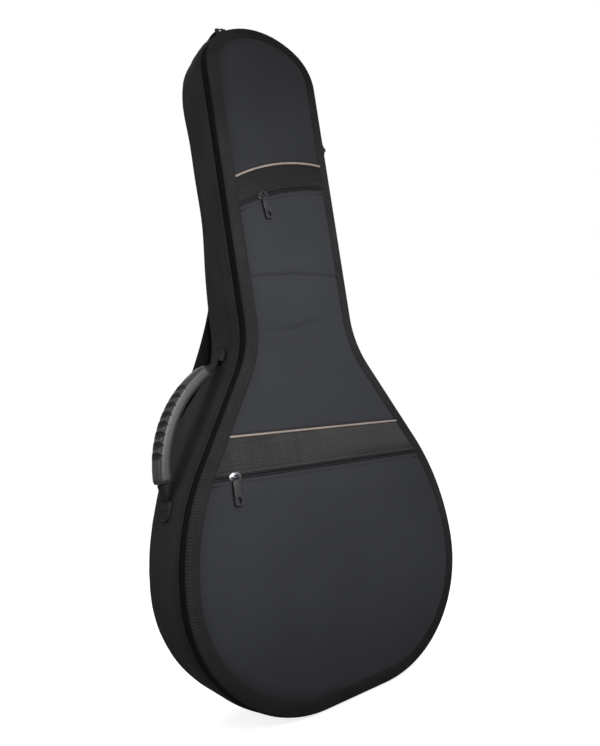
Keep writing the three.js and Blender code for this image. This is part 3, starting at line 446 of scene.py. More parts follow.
def weave_group():
    """Plain weave: warp and weft threads are |sin| ridges, and each crossing shows the one on top in turn."""
    group, given, made = new_group("plain weave", {"Pitch": 0.001, "Thin": 0.35}, ("Height", "Gap", "Thread"))
    calc = partial(math_node, group)
    split = group.nodes.new("ShaderNodeSeparateXYZ")
    group.links.new(given.outputs["Vector"], split.inputs[0])
    ridges, cells = [], []
    for axis in (0, 1):
        scaled = calc("DIVIDE", split.outputs[axis], given.outputs["Pitch"])
        cells.append(calc("FLOOR", scaled))
        ridges.append(calc("ABSOLUTE", calc("SINE", calc("MULTIPLY", scaled, math.pi))))
    over = calc("ABSOLUTE", calc("MODULO", calc("ADD", *cells), 2.0))
    under = calc("SUBTRACT", 1.0, over)
    warp = calc("MULTIPLY", ridges[0], calc("MULTIPLY_ADD", over, 0.45, 0.55))
    weft = calc("MULTIPLY", ridges[1], calc("MULTIPLY_ADD", under, 0.45, 0.55))
    gap = calc("LESS_THAN", calc("MAXIMUM", *ridges), given.outputs["Thin"])
    noise = group.nodes.new("ShaderNodeTexWhiteNoise")
    noise.noise_dimensions = "1D"
    thread = calc("ADD", calc("MULTIPLY", cells[0], over), calc("MULTIPLY", cells[1], under))
    group.links.new(calc("MULTIPLY_ADD", over, 57.0, thread), noise.inputs["W"])
    results = {"Height": calc("MAXIMUM", warp, weft), "Gap": gap, "Thread": noise.outputs["Value"]}
    for label, value in results.items():
        group.links.new(value, made.inputs[label])
    return group


def soiling_group():
    """Slow patches of lighter and darker cloth, with a fine grain over them, from 0 to 1 round a half."""
    group, given, made = new_group("cloth mottle", {"Size": 12.0, "Grain": 0.35}, ["Mottle"])
    calc = partial(math_node, group)
    patches, grain = (group.nodes.new("ShaderNodeTexNoise") for _ in range(2))
    for noise, detail in ((patches, 3), (grain, 2)):
        group.links.new(given.outputs["Vector"], noise.inputs["Vector"])
        noise.inputs["Detail"].default_value = detail
    group.links.new(given.outputs["Size"], patches.inputs["Scale"])
    grain.inputs["Scale"].default_value = 900
    share = calc("MULTIPLY", calc("SUBTRACT", grain.outputs["Fac"], 0.5), given.outputs["Grain"])
    group.links.new(calc("ADD", patches.outputs["Fac"], share), made.inputs["Mottle"])
    return group


WEAVE = weave_group()
MOTTLE = soiling_group()


def base_material(name, roughness, metallic=0.0, specular=0.5, sheen=0.0, sheen_roughness=0.5):
    """A new material whose shader has these plain numbers."""
    material = bpy.data.materials.new(name)
    material.use_nodes = True
    shader = material.node_tree.nodes["Principled BSDF"]
    shader.inputs["Roughness"].default_value = roughness
    shader.inputs["Metallic"].default_value = metallic
    shader.inputs["Specular IOR Level"].default_value = specular
    shader.inputs["Sheen Weight"].default_value = sheen
    shader.inputs["Sheen Roughness"].default_value = sheen_roughness
    return material, material.node_tree, shader


def mix_colour(tree, factor, a, b):
    """The first colour where the factor is 0 and the second where it is 1."""
    node = tree.nodes.new("ShaderNodeMix")
    node.data_type = "RGBA"
    tree.links.new(factor, node.inputs["Factor"])
    for socket, value in ((node.inputs["A"], a), (node.inputs["B"], b)):
        if isinstance(value, tuple):
            socket.default_value = (*value, 1)
        else:
            tree.links.new(value, socket)
    return node.outputs["Result"]


def place_group(tree, group, vector, **values):
    """A shader group set in a tree with its vector and numbers."""
    node = tree.nodes.new("ShaderNodeGroup")
    node.node_tree = group
    tree.links.new(vector, node.inputs["Vector"])
    for label, value in values.items():
        node.inputs[label].default_value = value
    return node


def uv_vector(tree):
    """The piece's own UV map, in metres over its cloth."""
    node = tree.nodes.new("ShaderNodeUVMap")
    node.uv_map = "cloth"
    return node.outputs["UV"]


def object_vector(tree):
    """Places in the bag's own frame."""
    return tree.nodes.new("ShaderNodeTexCoord").outputs["Object"]


def marked(tree, label):
    """How strongly a piece's points are marked, as `mark` wrote it."""
    node = tree.nodes.new("ShaderNodeAttribute")
    node.attribute_name = label
    return node.outputs["Fac"]


def relief(tree, shader, height, strength, distance):
    """Turns a height into small relief on a shader."""
    node = tree.nodes.new("ShaderNodeBump")
    node.inputs["Strength"].default_value = strength
    node.inputs["Distance"].default_value = distance
    tree.links.new(height, node.inputs["Height"])
    tree.links.new(node.outputs["Normal"], shader.inputs["Normal"])


def woven_cloth(
    name,
    low,
    high,
    pitch,
    depth,
    mottle=12.0,
    gap=None,
    thin=0.3,
    spread=0.5,
    roughness=0.82,
    sheen=0.02,
    specular=0.22,
):
    """Cloth woven at its real pitch: thread to thread it changes a little, and slow patches lighten it. Its
    weave's contrast fades to its mean colour where its points carry the fade mark, and painted shade darkens it
    where they carry the shade mark."""
    material, tree, shader = base_material(name, roughness, 0.0, specular, sheen, sheen_roughness=0.45)
    calc = partial(math_node, tree)
    weave = place_group(tree, WEAVE, uv_vector(tree), Pitch=pitch, Thin=thin)
    patches = place_group(tree, MOTTLE, object_vector(tree), Size=mottle, Grain=0.5)
    thread = calc("SUBTRACT", weave.outputs["Thread"], 0.5)
    factor = calc("MULTIPLY_ADD", thread, spread, patches.outputs["Mottle"])
    lit = calc("MULTIPLY_ADD", weave.outputs["Height"], 0.5, calc("SUBTRACT", factor, 0.4))
    colour = mix_colour(tree, lit, low, high)
    if gap is not None:
        colour = mix_colour(tree, weave.outputs["Gap"], colour, gap)
    # the weave's contrast fades towards the mean of its two colours where points carry the mark
    colour = mix_colour(tree, marked(tree, "weave_fade"), colour, tuple((a + b) / 2 for a, b in zip(low, high)))
    # painted shade: where points carry the mark, the colour goes towards a fifth of the low colour
    colour = mix_colour(tree, marked(tree, "painted_shade"), colour, tuple(0.2 * c for c in low))
    tree.links.new(colour, shader.inputs["Base Color"])
    relief(tree, shader, weave.outputs["Height"], 0.6, depth)
    return material


def smooth_material(
    name, low, high, roughness, metallic=0.0, size=30.0, depth=0.00015, specular=0.5, painted_shade=None
):
    """Moulded or cast surface: slow patches in its colour and a fine grain in its relief and gloss. Where its
    points carry the shade mark, it is darkened with painted shade and made duller."""
    material, tree, shader = base_material(name, roughness, metallic, specular)
    patches = place_group(tree, MOTTLE, object_vector(tree), Size=size, Grain=0.6)
    colour = mix_colour(tree, patches.outputs["Mottle"], low, high)
    gloss = math_node(tree, "MULTIPLY_ADD", patches.outputs["Mottle"], 0.25, roughness - 0.12)
    # painted shade: marked points are mixed towards the given dark colour, and their roughness rises
    if painted_shade is not None:
        factor = marked(tree, "painted_shade")
        colour = mix_colour(tree, factor, colour, painted_shade)
        gloss = math_node(tree, "MULTIPLY_ADD", factor, 0.35, gloss)
    tree.links.new(colour, shader.inputs["Base Color"])
    tree.links.new(gloss, shader.inputs["Roughness"])
    relief(tree, shader, patches.outputs["Mottle"], 0.35, depth)
    return material


def grey(value):
    """A colour with equal parts."""
    return (value, value, value)


FINE, COARSE_PITCH = 0.0007, 0.0021
PANEL = woven_cloth(
    "panel cloth", (0.030, 0.031, 0.0352), (0.050, 0.052, 0.0592), FINE, 0.0001,
    mottle=7, sheen=0.06, spread=0.12,
)
SIDE = woven_cloth(
    "side cloth", (0.020, 0.0208, 0.0208), (0.0455, 0.0468, 0.0458), FINE, 0.0001, spread=0.12, specular=0.12
)
COARSE = woven_cloth(
    "coarse weave", grey(0.026), (0.086, 0.085, 0.084), COARSE_PITCH, 0.0006,
    mottle=16, gap=grey(0.012), thin=0.4, spread=0.3, roughness=0.9, sheen=0.03,
)
EDGE_WEAVE = woven_cloth(
    "edge weave", (0.0155, 0.0155, 0.016), (0.040, 0.040, 0.041), 0.0015, 0.0004,
    mottle=18, spread=0.22, roughness=0.9, specular=0.12,
)
HEAD_WEAVE = woven_cloth(
    "head weave", grey(0.018), (0.044, 0.044, 0.0435), 0.0013, 0.0003,
    mottle=14, spread=0.2, roughness=0.9, specular=0.12,
)
TAPE_CLOTH = woven_cloth(
    "zip tape", (0.005, 0.005, 0.0055), (0.012, 0.012, 0.013), 0.0009, 0.0002,
    roughness=0.9, sheen=0.0, specular=0.06,
)
WEBBING = woven_cloth(
    "webbing", (0.014, 0.0145, 0.0145), (0.032, 0.033, 0.032), 0.0016, 0.0004, roughness=0.8, sheen=0.03
)
PAD = woven_cloth(
    "strap cloth", grey(0.005), (0.013, 0.013, 0.0125), 0.0011, 0.0003,
    mottle=14, sheen=0.01, spread=0.2, specular=0.12,
)
POCKET_TAPE = woven_cloth(
    "pocket zip tape", (0.020, 0.020, 0.022), (0.038, 0.038, 0.041), 0.0009, 0.0002,
    roughness=0.85, sheen=0.03, spread=0.2,
)
LINING = woven_cloth(
    "lining nylon", (0.018, 0.018, 0.020), (0.036, 0.036, 0.040), 0.0005, 0.00008, roughness=0.55, spread=0.15
)
POCKET_COIL = smooth_material(
    "pocket coil nylon", (0.016, 0.016, 0.0175), (0.030, 0.030, 0.033), 0.6, size=80, specular=0.15
)
PIPING = smooth_material(
    "piping cord", (0.285, 0.233, 0.198), (0.42, 0.366, 0.33), 0.55, size=60, depth=0.0001
)
COIL = smooth_material(
    "coil nylon", (0.006, 0.006, 0.0065), (0.013, 0.013, 0.0135), 0.6, size=80, specular=0.1
)
THREAD = smooth_material(
    "sewing thread", (0.018, 0.018, 0.019), (0.036, 0.036, 0.038), 0.75, size=120, specular=0.2
)
EDGE_THREAD = smooth_material(
    "edge thread", (0.032, 0.032, 0.033), (0.060, 0.060, 0.061), 0.7, size=120, specular=0.2
)
METAL = smooth_material("slider metal", (0.20, 0.20, 0.21), (0.42, 0.42, 0.44), 0.3, metallic=0.9, size=90)
PULL_METAL = smooth_material(
    "pull paint", (0.028, 0.028, 0.030), (0.049, 0.049, 0.053), 0.5, metallic=0.2, size=90, specular=0.4
)
# the grip's rubber: its grooves get painted shade, a mix towards grey 0.010
RUBBER = smooth_material(
    "grip rubber", (0.034, 0.035, 0.034), (0.058, 0.059, 0.057), 0.4,
    size=40, depth=0.0002, specular=0.6, painted_shade=grey(0.010),
)
BUCKLE = smooth_material("buckle plastic", (0.012, 0.012, 0.013), (0.022, 0.022, 0.023), 0.38, size=50)


# Back half: side wall, back and lining


def side_wall():
    """Padded side wall. Its outer face leaves the zip tape, rises as a quarter sine to the bulge and comes back
    as a quarter sine to the back seam, with long folds along the neck, creases at the waist and puckers by the
    seams. Its back edge stands out by the swell. It carries painted shade: it is darker by the zip, by the
    handle and near the bottom."""
    s, z = SEAM.s[:, None], SEAM.z[:, None]
    depth, stand = depth_at(z), swell(z)
    back = WALL_HEM + (depth - WALL_HEM) * np.linspace(0, 1, 54) ** 1.25
    rise = np.sin(math.pi / 2 * np.clip((back - WALL_HEM) / (0.28 * depth - WALL_HEM), 0, 1)) ** 0.7
    full = rise * np.sin(math.pi / 2 * np.clip((depth - back) / (0.25 * depth), 0, 1))
    wave = lambda cell_s, cell_back, seed: folds(s, back, cell_s, cell_back, seed, SEAM_LENGTH)
    soft = 0.9 * wave(70, 34, 3)
    soft += 1.3 * smooth((z - 360) / 60) * wave(110, 15, 5)
    soft += 1.5 * bump((z - 425) / 42) * wave(13, 60, 7)
    soft += 0.45 * wave(22, 16, 9)
    pucker = bump((back - 15) / 5) + bump((depth - 4 - back) / 4)
    soft = soft * full - 0.3 * pucker * (1 + wave(9, 400, 11))
    start, tucked = 0.95, -0.65
    out = start + (WALL_BULGE - start) * full + soft * full**0.5
    out = tucked + (out - tucked) * smooth((depth - back) / 5)
    out = np.minimum(out, WALL_BULGE + np.where(z > 480, 0.6, 1.5))
    out = np.maximum(out, np.where(back < 14, 0.85, tucked))
    out = out + stand * smooth((back - 0.72 * depth + 8) / 14)
    inner_back = (depth - 0.4) + (5.4 - depth) * np.linspace(0, 1, 8)
    section_out = columns(out, -2.5 + stand, np.full(8, -11.9), [-2.5, -0.5, -0.5, 0.45, 0.45])
    section_back = columns(back, depth - 0.2, inner_back, [5, 5, 12.3, 12.3, 6.5])
    least = np.concatenate([np.zeros(54), [0.8], np.full(8, 1.2), [0.8, 0.6, 0.6, 0.3, 0.3]])
    piece = ring("side_wall", section_out, section_back, least)
    centre, along, _, half_span = handle_frame()
    # painted shade: darker beside the zip and towards the bottom, and round the handle's two pivots
    shade = 0.25 * bump((section_back - 9) / 6) + 0.42 * smooth((170 - z) / 130)
    for way, reach in ((-1, 5.0), (1, 8.0)):
        tip = centre + along * half_span * way
        near = bump(np.hypot(SEAM.x - tip[0], SEAM.z - tip[2]) / reach)[:, None]
        shade = shade + 0.8 * near * bump((section_back - GRIP_BACK) / 9)
    mark(piece, "painted_shade", np.clip(shade, 0, 1))
    dress(piece, "case_back", SIDE, ["side_outer_cloth", "side_foam"])


def spread_across(count, share):
    """Places from -1 to 1, closer together at both ends by a share of a sine."""
    turn = np.linspace(-math.pi / 2, math.pi / 2, count)
    return share * np.sin(turn) + (1 - share) * turn / (math.pi / 2)


def sheet_rows(count_across, inset):
    """Rows across the outline from the bottom to the crown, as x and z on a grid that follows the edge."""
    line = HALF.inset(inset)
    rows = (HALF.z > SEAM_RISE + 1e-4) & (line.x > 0.4)
    rows[int(np.argmax(rows)) - 1] = True
    return np.broadcast_arrays(line.x[rows, None] * spread_across(count_across, 0.55), line.z[rows, None])


def slab(name, x, z, front, back):
    """A closed sheet over a grid in the front's plane: its front face, its back face, and both ends closed."""
    x, z, front, back = np.broadcast_arrays(x, z, front, back)
    near = np.stack([x, SEAM_Y + front, z], -1)
    far = np.stack([x, SEAM_Y + back, z], -1)[:, ::-1]
    flat = np.stack([x, z], -1)
    uv = np.concatenate([flat, flat[:, ::-1], flat[:, :1]], 1)
    return surface(name, np.concatenate([near, far], 1), across=True, uv=np.concatenate([uv, uv[-1:]]))


def back_wall():
    """Padded back: a low crown that fades to the seam, with soft random folds over it."""
    x, z = sheet_rows(96, 0.65 - swell(HALF.z) * smooth(HALF.nx / 0.3))
    d = np.where(np.abs(x) > half_width(z, 0), 0, edge_distance(x, z))
    crown = 2.2 * (1 - np.exp(-np.maximum(d - 0.65, 0) / 16)) - 1.6
    crown += 0.5 * folds(x, z, 60, 48, 21) * smooth(d / 30)
    depth = depth_at(z)
    blend = smooth((d - 12.3) / 1.2)
    inner = (depth + 0.15) * (1 - blend) + (depth - FOAM) * blend
    piece = slab("back_wall", x, z, inner, depth + np.clip(1.0 + crown, 0.45, 1.42))
    dress(piece, "case_back", SIDE, ["back_outer_cloth", "back_foam"])


def linings():
    """Thin lining on the wall and the back, and the binding tape over the seam between them."""
    depth = depth_at(SEAM.z)[:, None]
    limit = depth - FOAM - 1.6
    t = np.linspace(0, 1, 10)
    back = columns(5 + (limit - 5) * t, limit + (5 - limit) * t)
    ripple = np.minimum(0.25 * folds(SEAM.s[:, None], back, 26, 18, 31, SEAM_LENGTH), 0.2)
    piece = ring("side_lining_cloth", columns(np.full(10, -12.4), -13.3 + ripple[:, 10:]), back)
    dress(piece, "case_back", LINING, ["side_lining"])
    x, z = sheet_rows(60, 12.3)
    inner = depth_at(z) - FOAM
    piece = slab("back_lining_cloth", x, z, inner - 1.35 + 0.15 * folds(x, z, 30, 24, 33), inner - 0.35)
    dress(piece, "case_back", LINING, ["back_lining"])
    across, up = rounded_section(8, 0.8, 0.3, 3).T
    piece = ring("back_seam_tape", -17.75 + across, depth - FOAM - 2.05 + up)
    dress(piece, "case_back", TAPE_CLOTH, ["back_seam_binding"])


# Main zip


def hinge_rows(line):
    """Which points of a line lie on the hinge's stretch, on the right between two heights."""
    return (line.x > 0) & (line.z > HINGE_LOW) & (line.z < HINGE_HIGH)


def zip_line(spacing):
    """The seam line without the hinge stretch, running from the top of the stretch round to its bottom."""
    line = seam_line(spacing)
    inside = hinge_rows(line)
    first = int(np.flatnonzero(inside)[-1]) + 1
    order = (np.arange(len(line.x) - int(inside.sum())) + first) % len(line.x)
    part = line.part(order)
    part.s = np.arange(len(order)) * line.s[1]
    return part


def main_zip():
    """Both halves of the main zip: woven tapes, and coils whose turns stand out as a wave of their pitch."""
    line = zip_line(2.0)
    across, up = rounded_section(TAPE, 9.0, 0.3, 3).T
    piece = ring("main_zip_rear_tape_cloth", across, REAR_TAPE_BACK + up, line=line, closed=False)
    dress(piece, "case_back", TAPE_CLOTH, ["main_zip_rear_tape"])
    out = [-0.35, -0.35, 0.35, 0.35, -0.4, -2.0, -6.0, -6.0, -2.0, -0.9]
    back = [-5.2, -3.0, -3.0, -5.3, -5.85, -5.95, -5.95, -5.3, -5.3, -5.25]
    piece = ring("main_zip_front_tape_cloth", out, back, line=line, closed=False)
    dress(piece, "lid", TAPE_CLOTH, ["main_zip_front_tape"])
    fine = zip_line(0.6)
    wave = 0.5 + 0.5 * np.cos(2 * math.pi * fine.s / MAIN_COIL_PITCH)[:, None]
    turn = turns(10)
    for word, side, body in (("rear", 1, "case_back"), ("front", -1, "lid")):
        out = COIL_HALF_HIGH * (0.72 + 0.28 * wave) * np.sin(turn)
        back = side * (1.6 + 0.12 * (1 - wave)) + COIL_HALF_WIDE * (0.86 + 0.14 * wave) * np.cos(turn)
        piece = ring(f"main_zip_{word}_teeth", out, back, line=fine, closed=False)
        dress(piece, body, COIL, [f"main_zip_{word}_coil"])


def hinge_strip():
    """The sewn strip that joins lid and wall on the right, between the two bodies, and the cloth tabs over the
    zip's ends above and below it."""
    line = SEAM.part(hinge_rows(SEAM))
    back = np.concatenate([np.linspace(12, -5.2, 30), [-5.9, -5.9, -5.3], np.linspace(-5.0, 12, 30)])
    out = np.concatenate([np.full(30, 0.4), [-0.2, -6.0, -6.0], np.full(30, -0.35)])
    out = out + 0.25 * folds(line.s[:, None], back, 14, 6, 41) * bump(back / 4)
    piece = ring("hinge_fold", out, back, line=line, closed=False)
    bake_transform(piece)
    dress(piece, None, SIDE, ["hinge_strip_case_half", "hinge_strip_lid_half"])
    across, up = rounded_section(1.0, 9.0, 0.45, 4).T
    for name, low in (("upper", HINGE_HIGH + 0.3), ("lower", HINGE_LOW - 14.3)):
        line = SEAM.part((SEAM.x > 0) & (SEAM.z > low) & (SEAM.z < low + 14))
        piece = ring("zip_end_cover_" + name, 1.15 + across, REAR_TAPE_BACK + up, line=line, closed=False)
        dress(piece, "case_back", SIDE, ["zip_end_tab_" + name])


# Lid


def arc_seam(height, tilt, radius):
    """Height of an arc across the lid: the arc leans by its tilt and passes its height in the middle."""
    centre = (radius * math.sin(tilt), height - radius * math.cos(tilt))
    return lambda x, rise=0.0: centre[1] + np.sqrt((radius + rise) ** 2 - np.square(x - centre[0]))


def straight_seam(height, slope):
    """Height of a straight seam: its height in the middle plus its slope times x."""
    return lambda x, rise=0.0: height + rise * math.hypot(1, slope) + slope * np.asarray(x, float)


def neck_at(share):
    """Height at a share of the way from the waist's corner to the crown."""
    return WAIST[1] + (CASE_HEIGHT - WAIST[1]) * share


SMALL_ZIP_TILT, SMALL_ZIP_RADIUS = math.radians(14.5), 338
LARGE_ZIP_SLOPE = -0.026
UPPER_PIPING = arc_seam(neck_at(0.555), math.radians(12.6), 254)
SMALL_ZIP = arc_seam(neck_at(0.469), SMALL_ZIP_TILT, SMALL_ZIP_RADIUS)
POCKET_BOTTOM = arc_seam(neck_at(0.212), math.radians(1.43), 641)
LOWER_PIPING = straight_seam(306, -0.029)
LARGE_ZIP = straight_seam(263.6, LARGE_ZIP_SLOPE)


def waist_crease(x):
    """Height of the soft crease over the waist."""
    return 432 + 5 * np.sin(x / 26) + 0.05 * x


def lid_rise(x, z):
    """How far the lid's cloth stands before its flat solid: a low crown, fuller over the body, that the zips,
    the piping and the pocket's seam hold down, with slow waves and one soft crease at the waist."""
    d = edge_distance(x, z)
    crown = 2.6 * (1 - np.exp(-np.maximum(d - PANEL_INSET, 0) / 20))
    crown += 5.2 * bump(x / 120) * bump((z - 138) / 92) * smooth((d - PANEL_INSET) / 60)
    hold = 1.0
    for seam, share, reach in (
        (SMALL_ZIP, 0.75, 11),
        (LARGE_ZIP, 0.8, 13),
        (UPPER_PIPING, 0.3, 6),
        (LOWER_PIPING, 0.3, 6),
        (POCKET_BOTTOM, 0.45, 4),
    ):
        hold = hold - share * bump((z - seam(np.clip(x, -150, 150))) / reach)
    waves = 0.45 * folds(x, z, 52, 38, 51) + 0.18 * folds(x, z, 17, 13, 53)
    above = z - waist_crease(x)
    waves += (0.5 * bump((above - 12) / 8) - 0.9 * bump(above / 5)) * bump(x / 52)
    waves *= smooth((d - PANEL_INSET) / 16)
    return np.maximum(crown * np.maximum(hold, 0.12) + waves * np.maximum(hold, 0.2), -0.1)


def lid_shade(x, z):
    """Painted shade on the lid's cloth, as how much darker it is: towards the head and the bottom, in the
    crease, by the left band.
    """
    d = edge_distance(x, z) - PANEL_INSET
    shade = 0.37 * smooth((z - 590) / 60) + 0.16 * smooth((z - 640) / 170) + 0.32 * smooth((130 - z) / 120)
    shade += 0.3 * bump((z - waist_crease(x)) / 2.6) * bump((x + 6) / 40)
    shade += (0.14 + 0.2 * smooth((190 - z) / 150)) * bump(np.maximum(d, 0) / 8) * smooth((10 - x) / 60)
    return np.clip(shade + 0.05 * folds(x, z, 40, 60, 91), 0, 1)


def panel_grid(low, high, rows, cols, dense):
    """Rows from one seam to another and columns between the band's inner edges. Each point is found by six
    rounds of: height at the place across, then width at the height."""
    t = np.linspace(0, 1, rows)
    if dense == "low":
        t = 1 - np.cos(t * math.pi / 2)
    if dense == "high":
        t = np.sin(t * math.pi / 2)
    share = spread_across(cols, 0.6)
    x = np.zeros((rows, cols))
    for _ in range(6):
        z = low(x) + (high(x) - low(x)) * t[:, None]
        x = share * half_width(z, PANEL_INSET)
    return x, z


def hem(distance):
    """Rolled edge beside a zip, which falls away as a bell."""
    return HEM_HEIGHT * bump(distance / HEM_REACH)


def mark_sheet(piece, label, values):
    """A number on both faces of a slab, given for its front face."""
    mark(piece, label, np.concatenate([values, values[:, ::-1]], 1))


def panel(name, low, high, rows, cols, nodes, material, dense="even", hemmed=None):
    """A cloth panel of the lid between two seams. The edge named by `hemmed` has a rolled hem beside its zip,
    and the other edges are tucked under at their seams."""
    x, z = panel_grid(low, high, rows, cols, dense)
    rise = lid_rise(x, z)
    to_low, to_high = z - low(x), high(x) - z
    tuck = 0.5 * bump((half_width(z, PANEL_INSET) - np.abs(x)) / 1.5)
    for edge, distance in (("low", to_low), ("high", to_high)):
        if edge == hemmed:
            rise = rise + hem(distance)
        else:
            tuck = tuck + 0.7 * bump(distance / 1.3)
    front = -LID_CLOTH - rise + tuck
    piece = slab(name, x, z, front, np.maximum(-LID_CLOTH - rise + 1.4, front + 0.3))
    # painted shade: the lid's shading from lid_shade, and on the coarse band a darker strip along its lower edge
    # towards the right
    shade = lid_shade(x, z)
    if material is COARSE:
        # the coarse band's weave fades to a flatter colour towards its right
        mark_sheet(piece, "weave_fade", 0.85 * smooth((x + 70) / 150))
        shade = shade + 0.3 * smooth((x + 10) / 90) * bump((to_low - 4) / 6)
    mark_sheet(piece, "painted_shade", shade)
    dress(piece, "lid", material, nodes)


def lid_panels():
    """The lid's cloth from the crown down: head, woven band, small pocket, middle, band, large pocket."""
    flat = lambda height: lambda x: np.full(np.shape(x), height)
    at = lambda seam, rise: lambda x: seam(x, rise)
    crown, bottom = flat(CASE_HEIGHT - PANEL_INSET - 0.02), flat(SEAM_RISE + PANEL_INSET + 0.02)
    low, high = at(UPPER_PIPING, PIPING_GAP), crown
    panel("head_cloth", low, high, 110, 70, ["head_panel"], PANEL, dense="high")
    low, high = at(SMALL_ZIP, HEM_EDGE), at(UPPER_PIPING, -PIPING_GAP)
    panel("upper_band_weave", low, high, 30, 70, ["upper_woven_band"], HEAD_WEAVE, hemmed="low")
    low, high = at(POCKET_BOTTOM, 0.2), at(SMALL_ZIP, -HEM_EDGE)
    nodes = ["small_pocket_panel", "small_pocket_backing"]
    panel("small_pocket_cloth", low, high, 80, 70, nodes, PANEL, hemmed="high")
    low, high = at(LOWER_PIPING, PIPING_GAP), at(POCKET_BOTTOM, -0.2)
    panel("middle_cloth", low, high, 130, 100, ["middle_panel"], PANEL)
    low, high = at(LARGE_ZIP, HEM_EDGE), at(LOWER_PIPING, -PIPING_GAP)
    panel("lower_band_weave", low, high, 36, 120, ["lower_woven_band"], COARSE, hemmed="low")
    low, high = bottom, at(LARGE_ZIP, -HEM_EDGE)
    nodes = ["large_pocket_panel", "large_pocket_backing"]
    panel("large_pocket_cloth", low, high, 150, 120, nodes, PANEL, dense="low", hemmed="high")


def seam_path(seam, spacing, rise=0.0, inset=PANEL_INSET + 0.4):
    """Points along a seam of the lid, in the front's plane, ending at the edge band."""
    x = np.linspace(-200, 200, 4001)
    z = seam(np.clip(x, -168, 168), rise)
    keep = np.abs(x) < half_width(z, inset)
    x, z = x[keep], z[keep]
    run = run_along(np.stack([x, z], -1))
    s = np.linspace(0, run[-1], int(run[-1] / spacing) + 1)
    return np.interp(s, run, x), np.interp(s, run, z), s


def rod_on_lid(name, node, seam, back, section, spacing, material, rise=0.0, follow=1.0, wave=None):
    """A rod or tape along a seam of the lid: its section stands on the lid's front and follows its crown."""
    x, z, s = seam_path(seam, spacing, rise)
    path = np.stack([x, SEAM_Y + back - follow * lid_rise(x, z), z], -1)
    way = unit(np.gradient(path, axis=0))
    side = unit(np.cross(TOWARDS_FRONT, way))
    up = np.cross(way, side)
    if wave is not None:
        up = up * wave(s)[:, None]
    points = path[:, None] + side[:, None] * section[:, :1] + up[:, None] * section[:, 1:]
    piece = surface(name, points, across=True, uv=tube_uv(s, section[:, 0]))
    dress(piece, "lid", material, [node])


def pocket_zips():
    """Each pocket's zip: two tapes under the hems, and two coils between them as waves of their pitch."""
    tape, coil = rounded_section(5.6, 0.55, 0.2, 3), oval(10, COIL_HALF_WIDE, COIL_HALF_HIGH)
    wave = lambda s: 0.76 + 0.24 * np.cos(2 * math.pi * s / POCKET_COIL_PITCH)
    for zip_name, seam in (("small_zip", SMALL_ZIP), ("large_zip", LARGE_ZIP)):
        for word, way in (("upper", 1), ("lower", -1)):
            stem = f"{zip_name}_{word}_"
            piece, node, back = stem + "tape_cloth", stem + "tape", -LID_CLOTH - 0.25
            rod_on_lid(piece, node, seam, back, tape, 2.0, POCKET_TAPE, way * 5.6, 0.3)
            piece, node, back = stem + "teeth", stem + "coil", CHAIN_BACK
            rod_on_lid(piece, node, seam, back, coil, 0.5, POCKET_COIL, way * 1.55, 0.0, wave)


def pipings():
    """The cord along the upper edge of each woven band: a circle carried along the band's seam."""
    for word, seam in (("upper", UPPER_PIPING), ("lower", LOWER_PIPING)):
        name, node, back = f"{word}_piping_trim", f"{word}_piping", -LID_CLOTH - 0.35
        rod_on_lid(name, node, seam, back, oval(14, 1.35, 1.35), 1.5, PIPING, follow=0.9)


def edge_band():
    """Woven band round the lid: a rolled inner edge, a flat top, then a quarter turn down to the zip."""
    inner, outer, turn_start, drop = -14.6, -0.4, -13.0, 4.35
    s = SEAM.s[:, None]
    across = np.linspace(inner, outer, 26)[None]
    turned = np.clip((across - turn_start) / (outer - turn_start), 0, 1)
    top = -LID_CLOTH - 0.75 + drop * (1 - np.sqrt(np.maximum(1 - turned**2, 0)))
    lumps = 0.32 * folds(s, across, 16, 9, 61, SEAM_LENGTH) + 0.16 * folds(s, across, 5, 5, 63, SEAM_LENGTH)
    roll = 0.5 * bump((across + 14.3) / 0.5)
    top = top - lumps * smooth((across - inner) / 3) * smooth((-0.5 - across) / 4) + roll
    out = columns(across, [-1.0, -2.6, -6.6, -13.4, -14.5])
    back = columns(top, [-6.25, -6.6, -8.4, -8.75, -9.4])
    piece = ring("edge_band_weave", out, back)
    # painted shade: the band is darker over the head's crown except on its left, near the bottom and towards the
    # head
    crown = smooth((SEAM.z - 725) / 60) * smooth((SEAM.nx + 0.55) / 0.5)
    low = 0.4 * smooth((150 - SEAM.z) / 130) + 0.3 * smooth((SEAM.z - 600) / 180) * (1 - crown)
    mark(piece, "painted_shade", np.broadcast_to((0.62 * crown + low)[:, None], back.shape))
    dress(piece, "lid", EDGE_WEAVE, ["edge_band"])


def lid_padding():
    """The lid's foam under its cloth, and its lining."""
    x, z = sheet_rows(90, 3.4)
    d = edge_distance(x, z)
    crown = np.where(d > 15, np.maximum(lid_rise(x, z) - 0.6, 0), 0) * smooth((d - 15) / 8)
    piece = slab("lid_padding", x, z, -np.minimum(4.75 + 0.75 * (d - 3.4), 8.3) - crown, 1.45)
    dress(piece, "lid", LINING, ["lid_foam"])
    x, z = sheet_rows(60, 3.6)
    piece = slab("lid_lining_cloth", x, z, 1.52, 2.3 + 0.15 * folds(x, z, 34, 26, 71))
    dress(piece, "lid", LINING, ["lid_lining"])


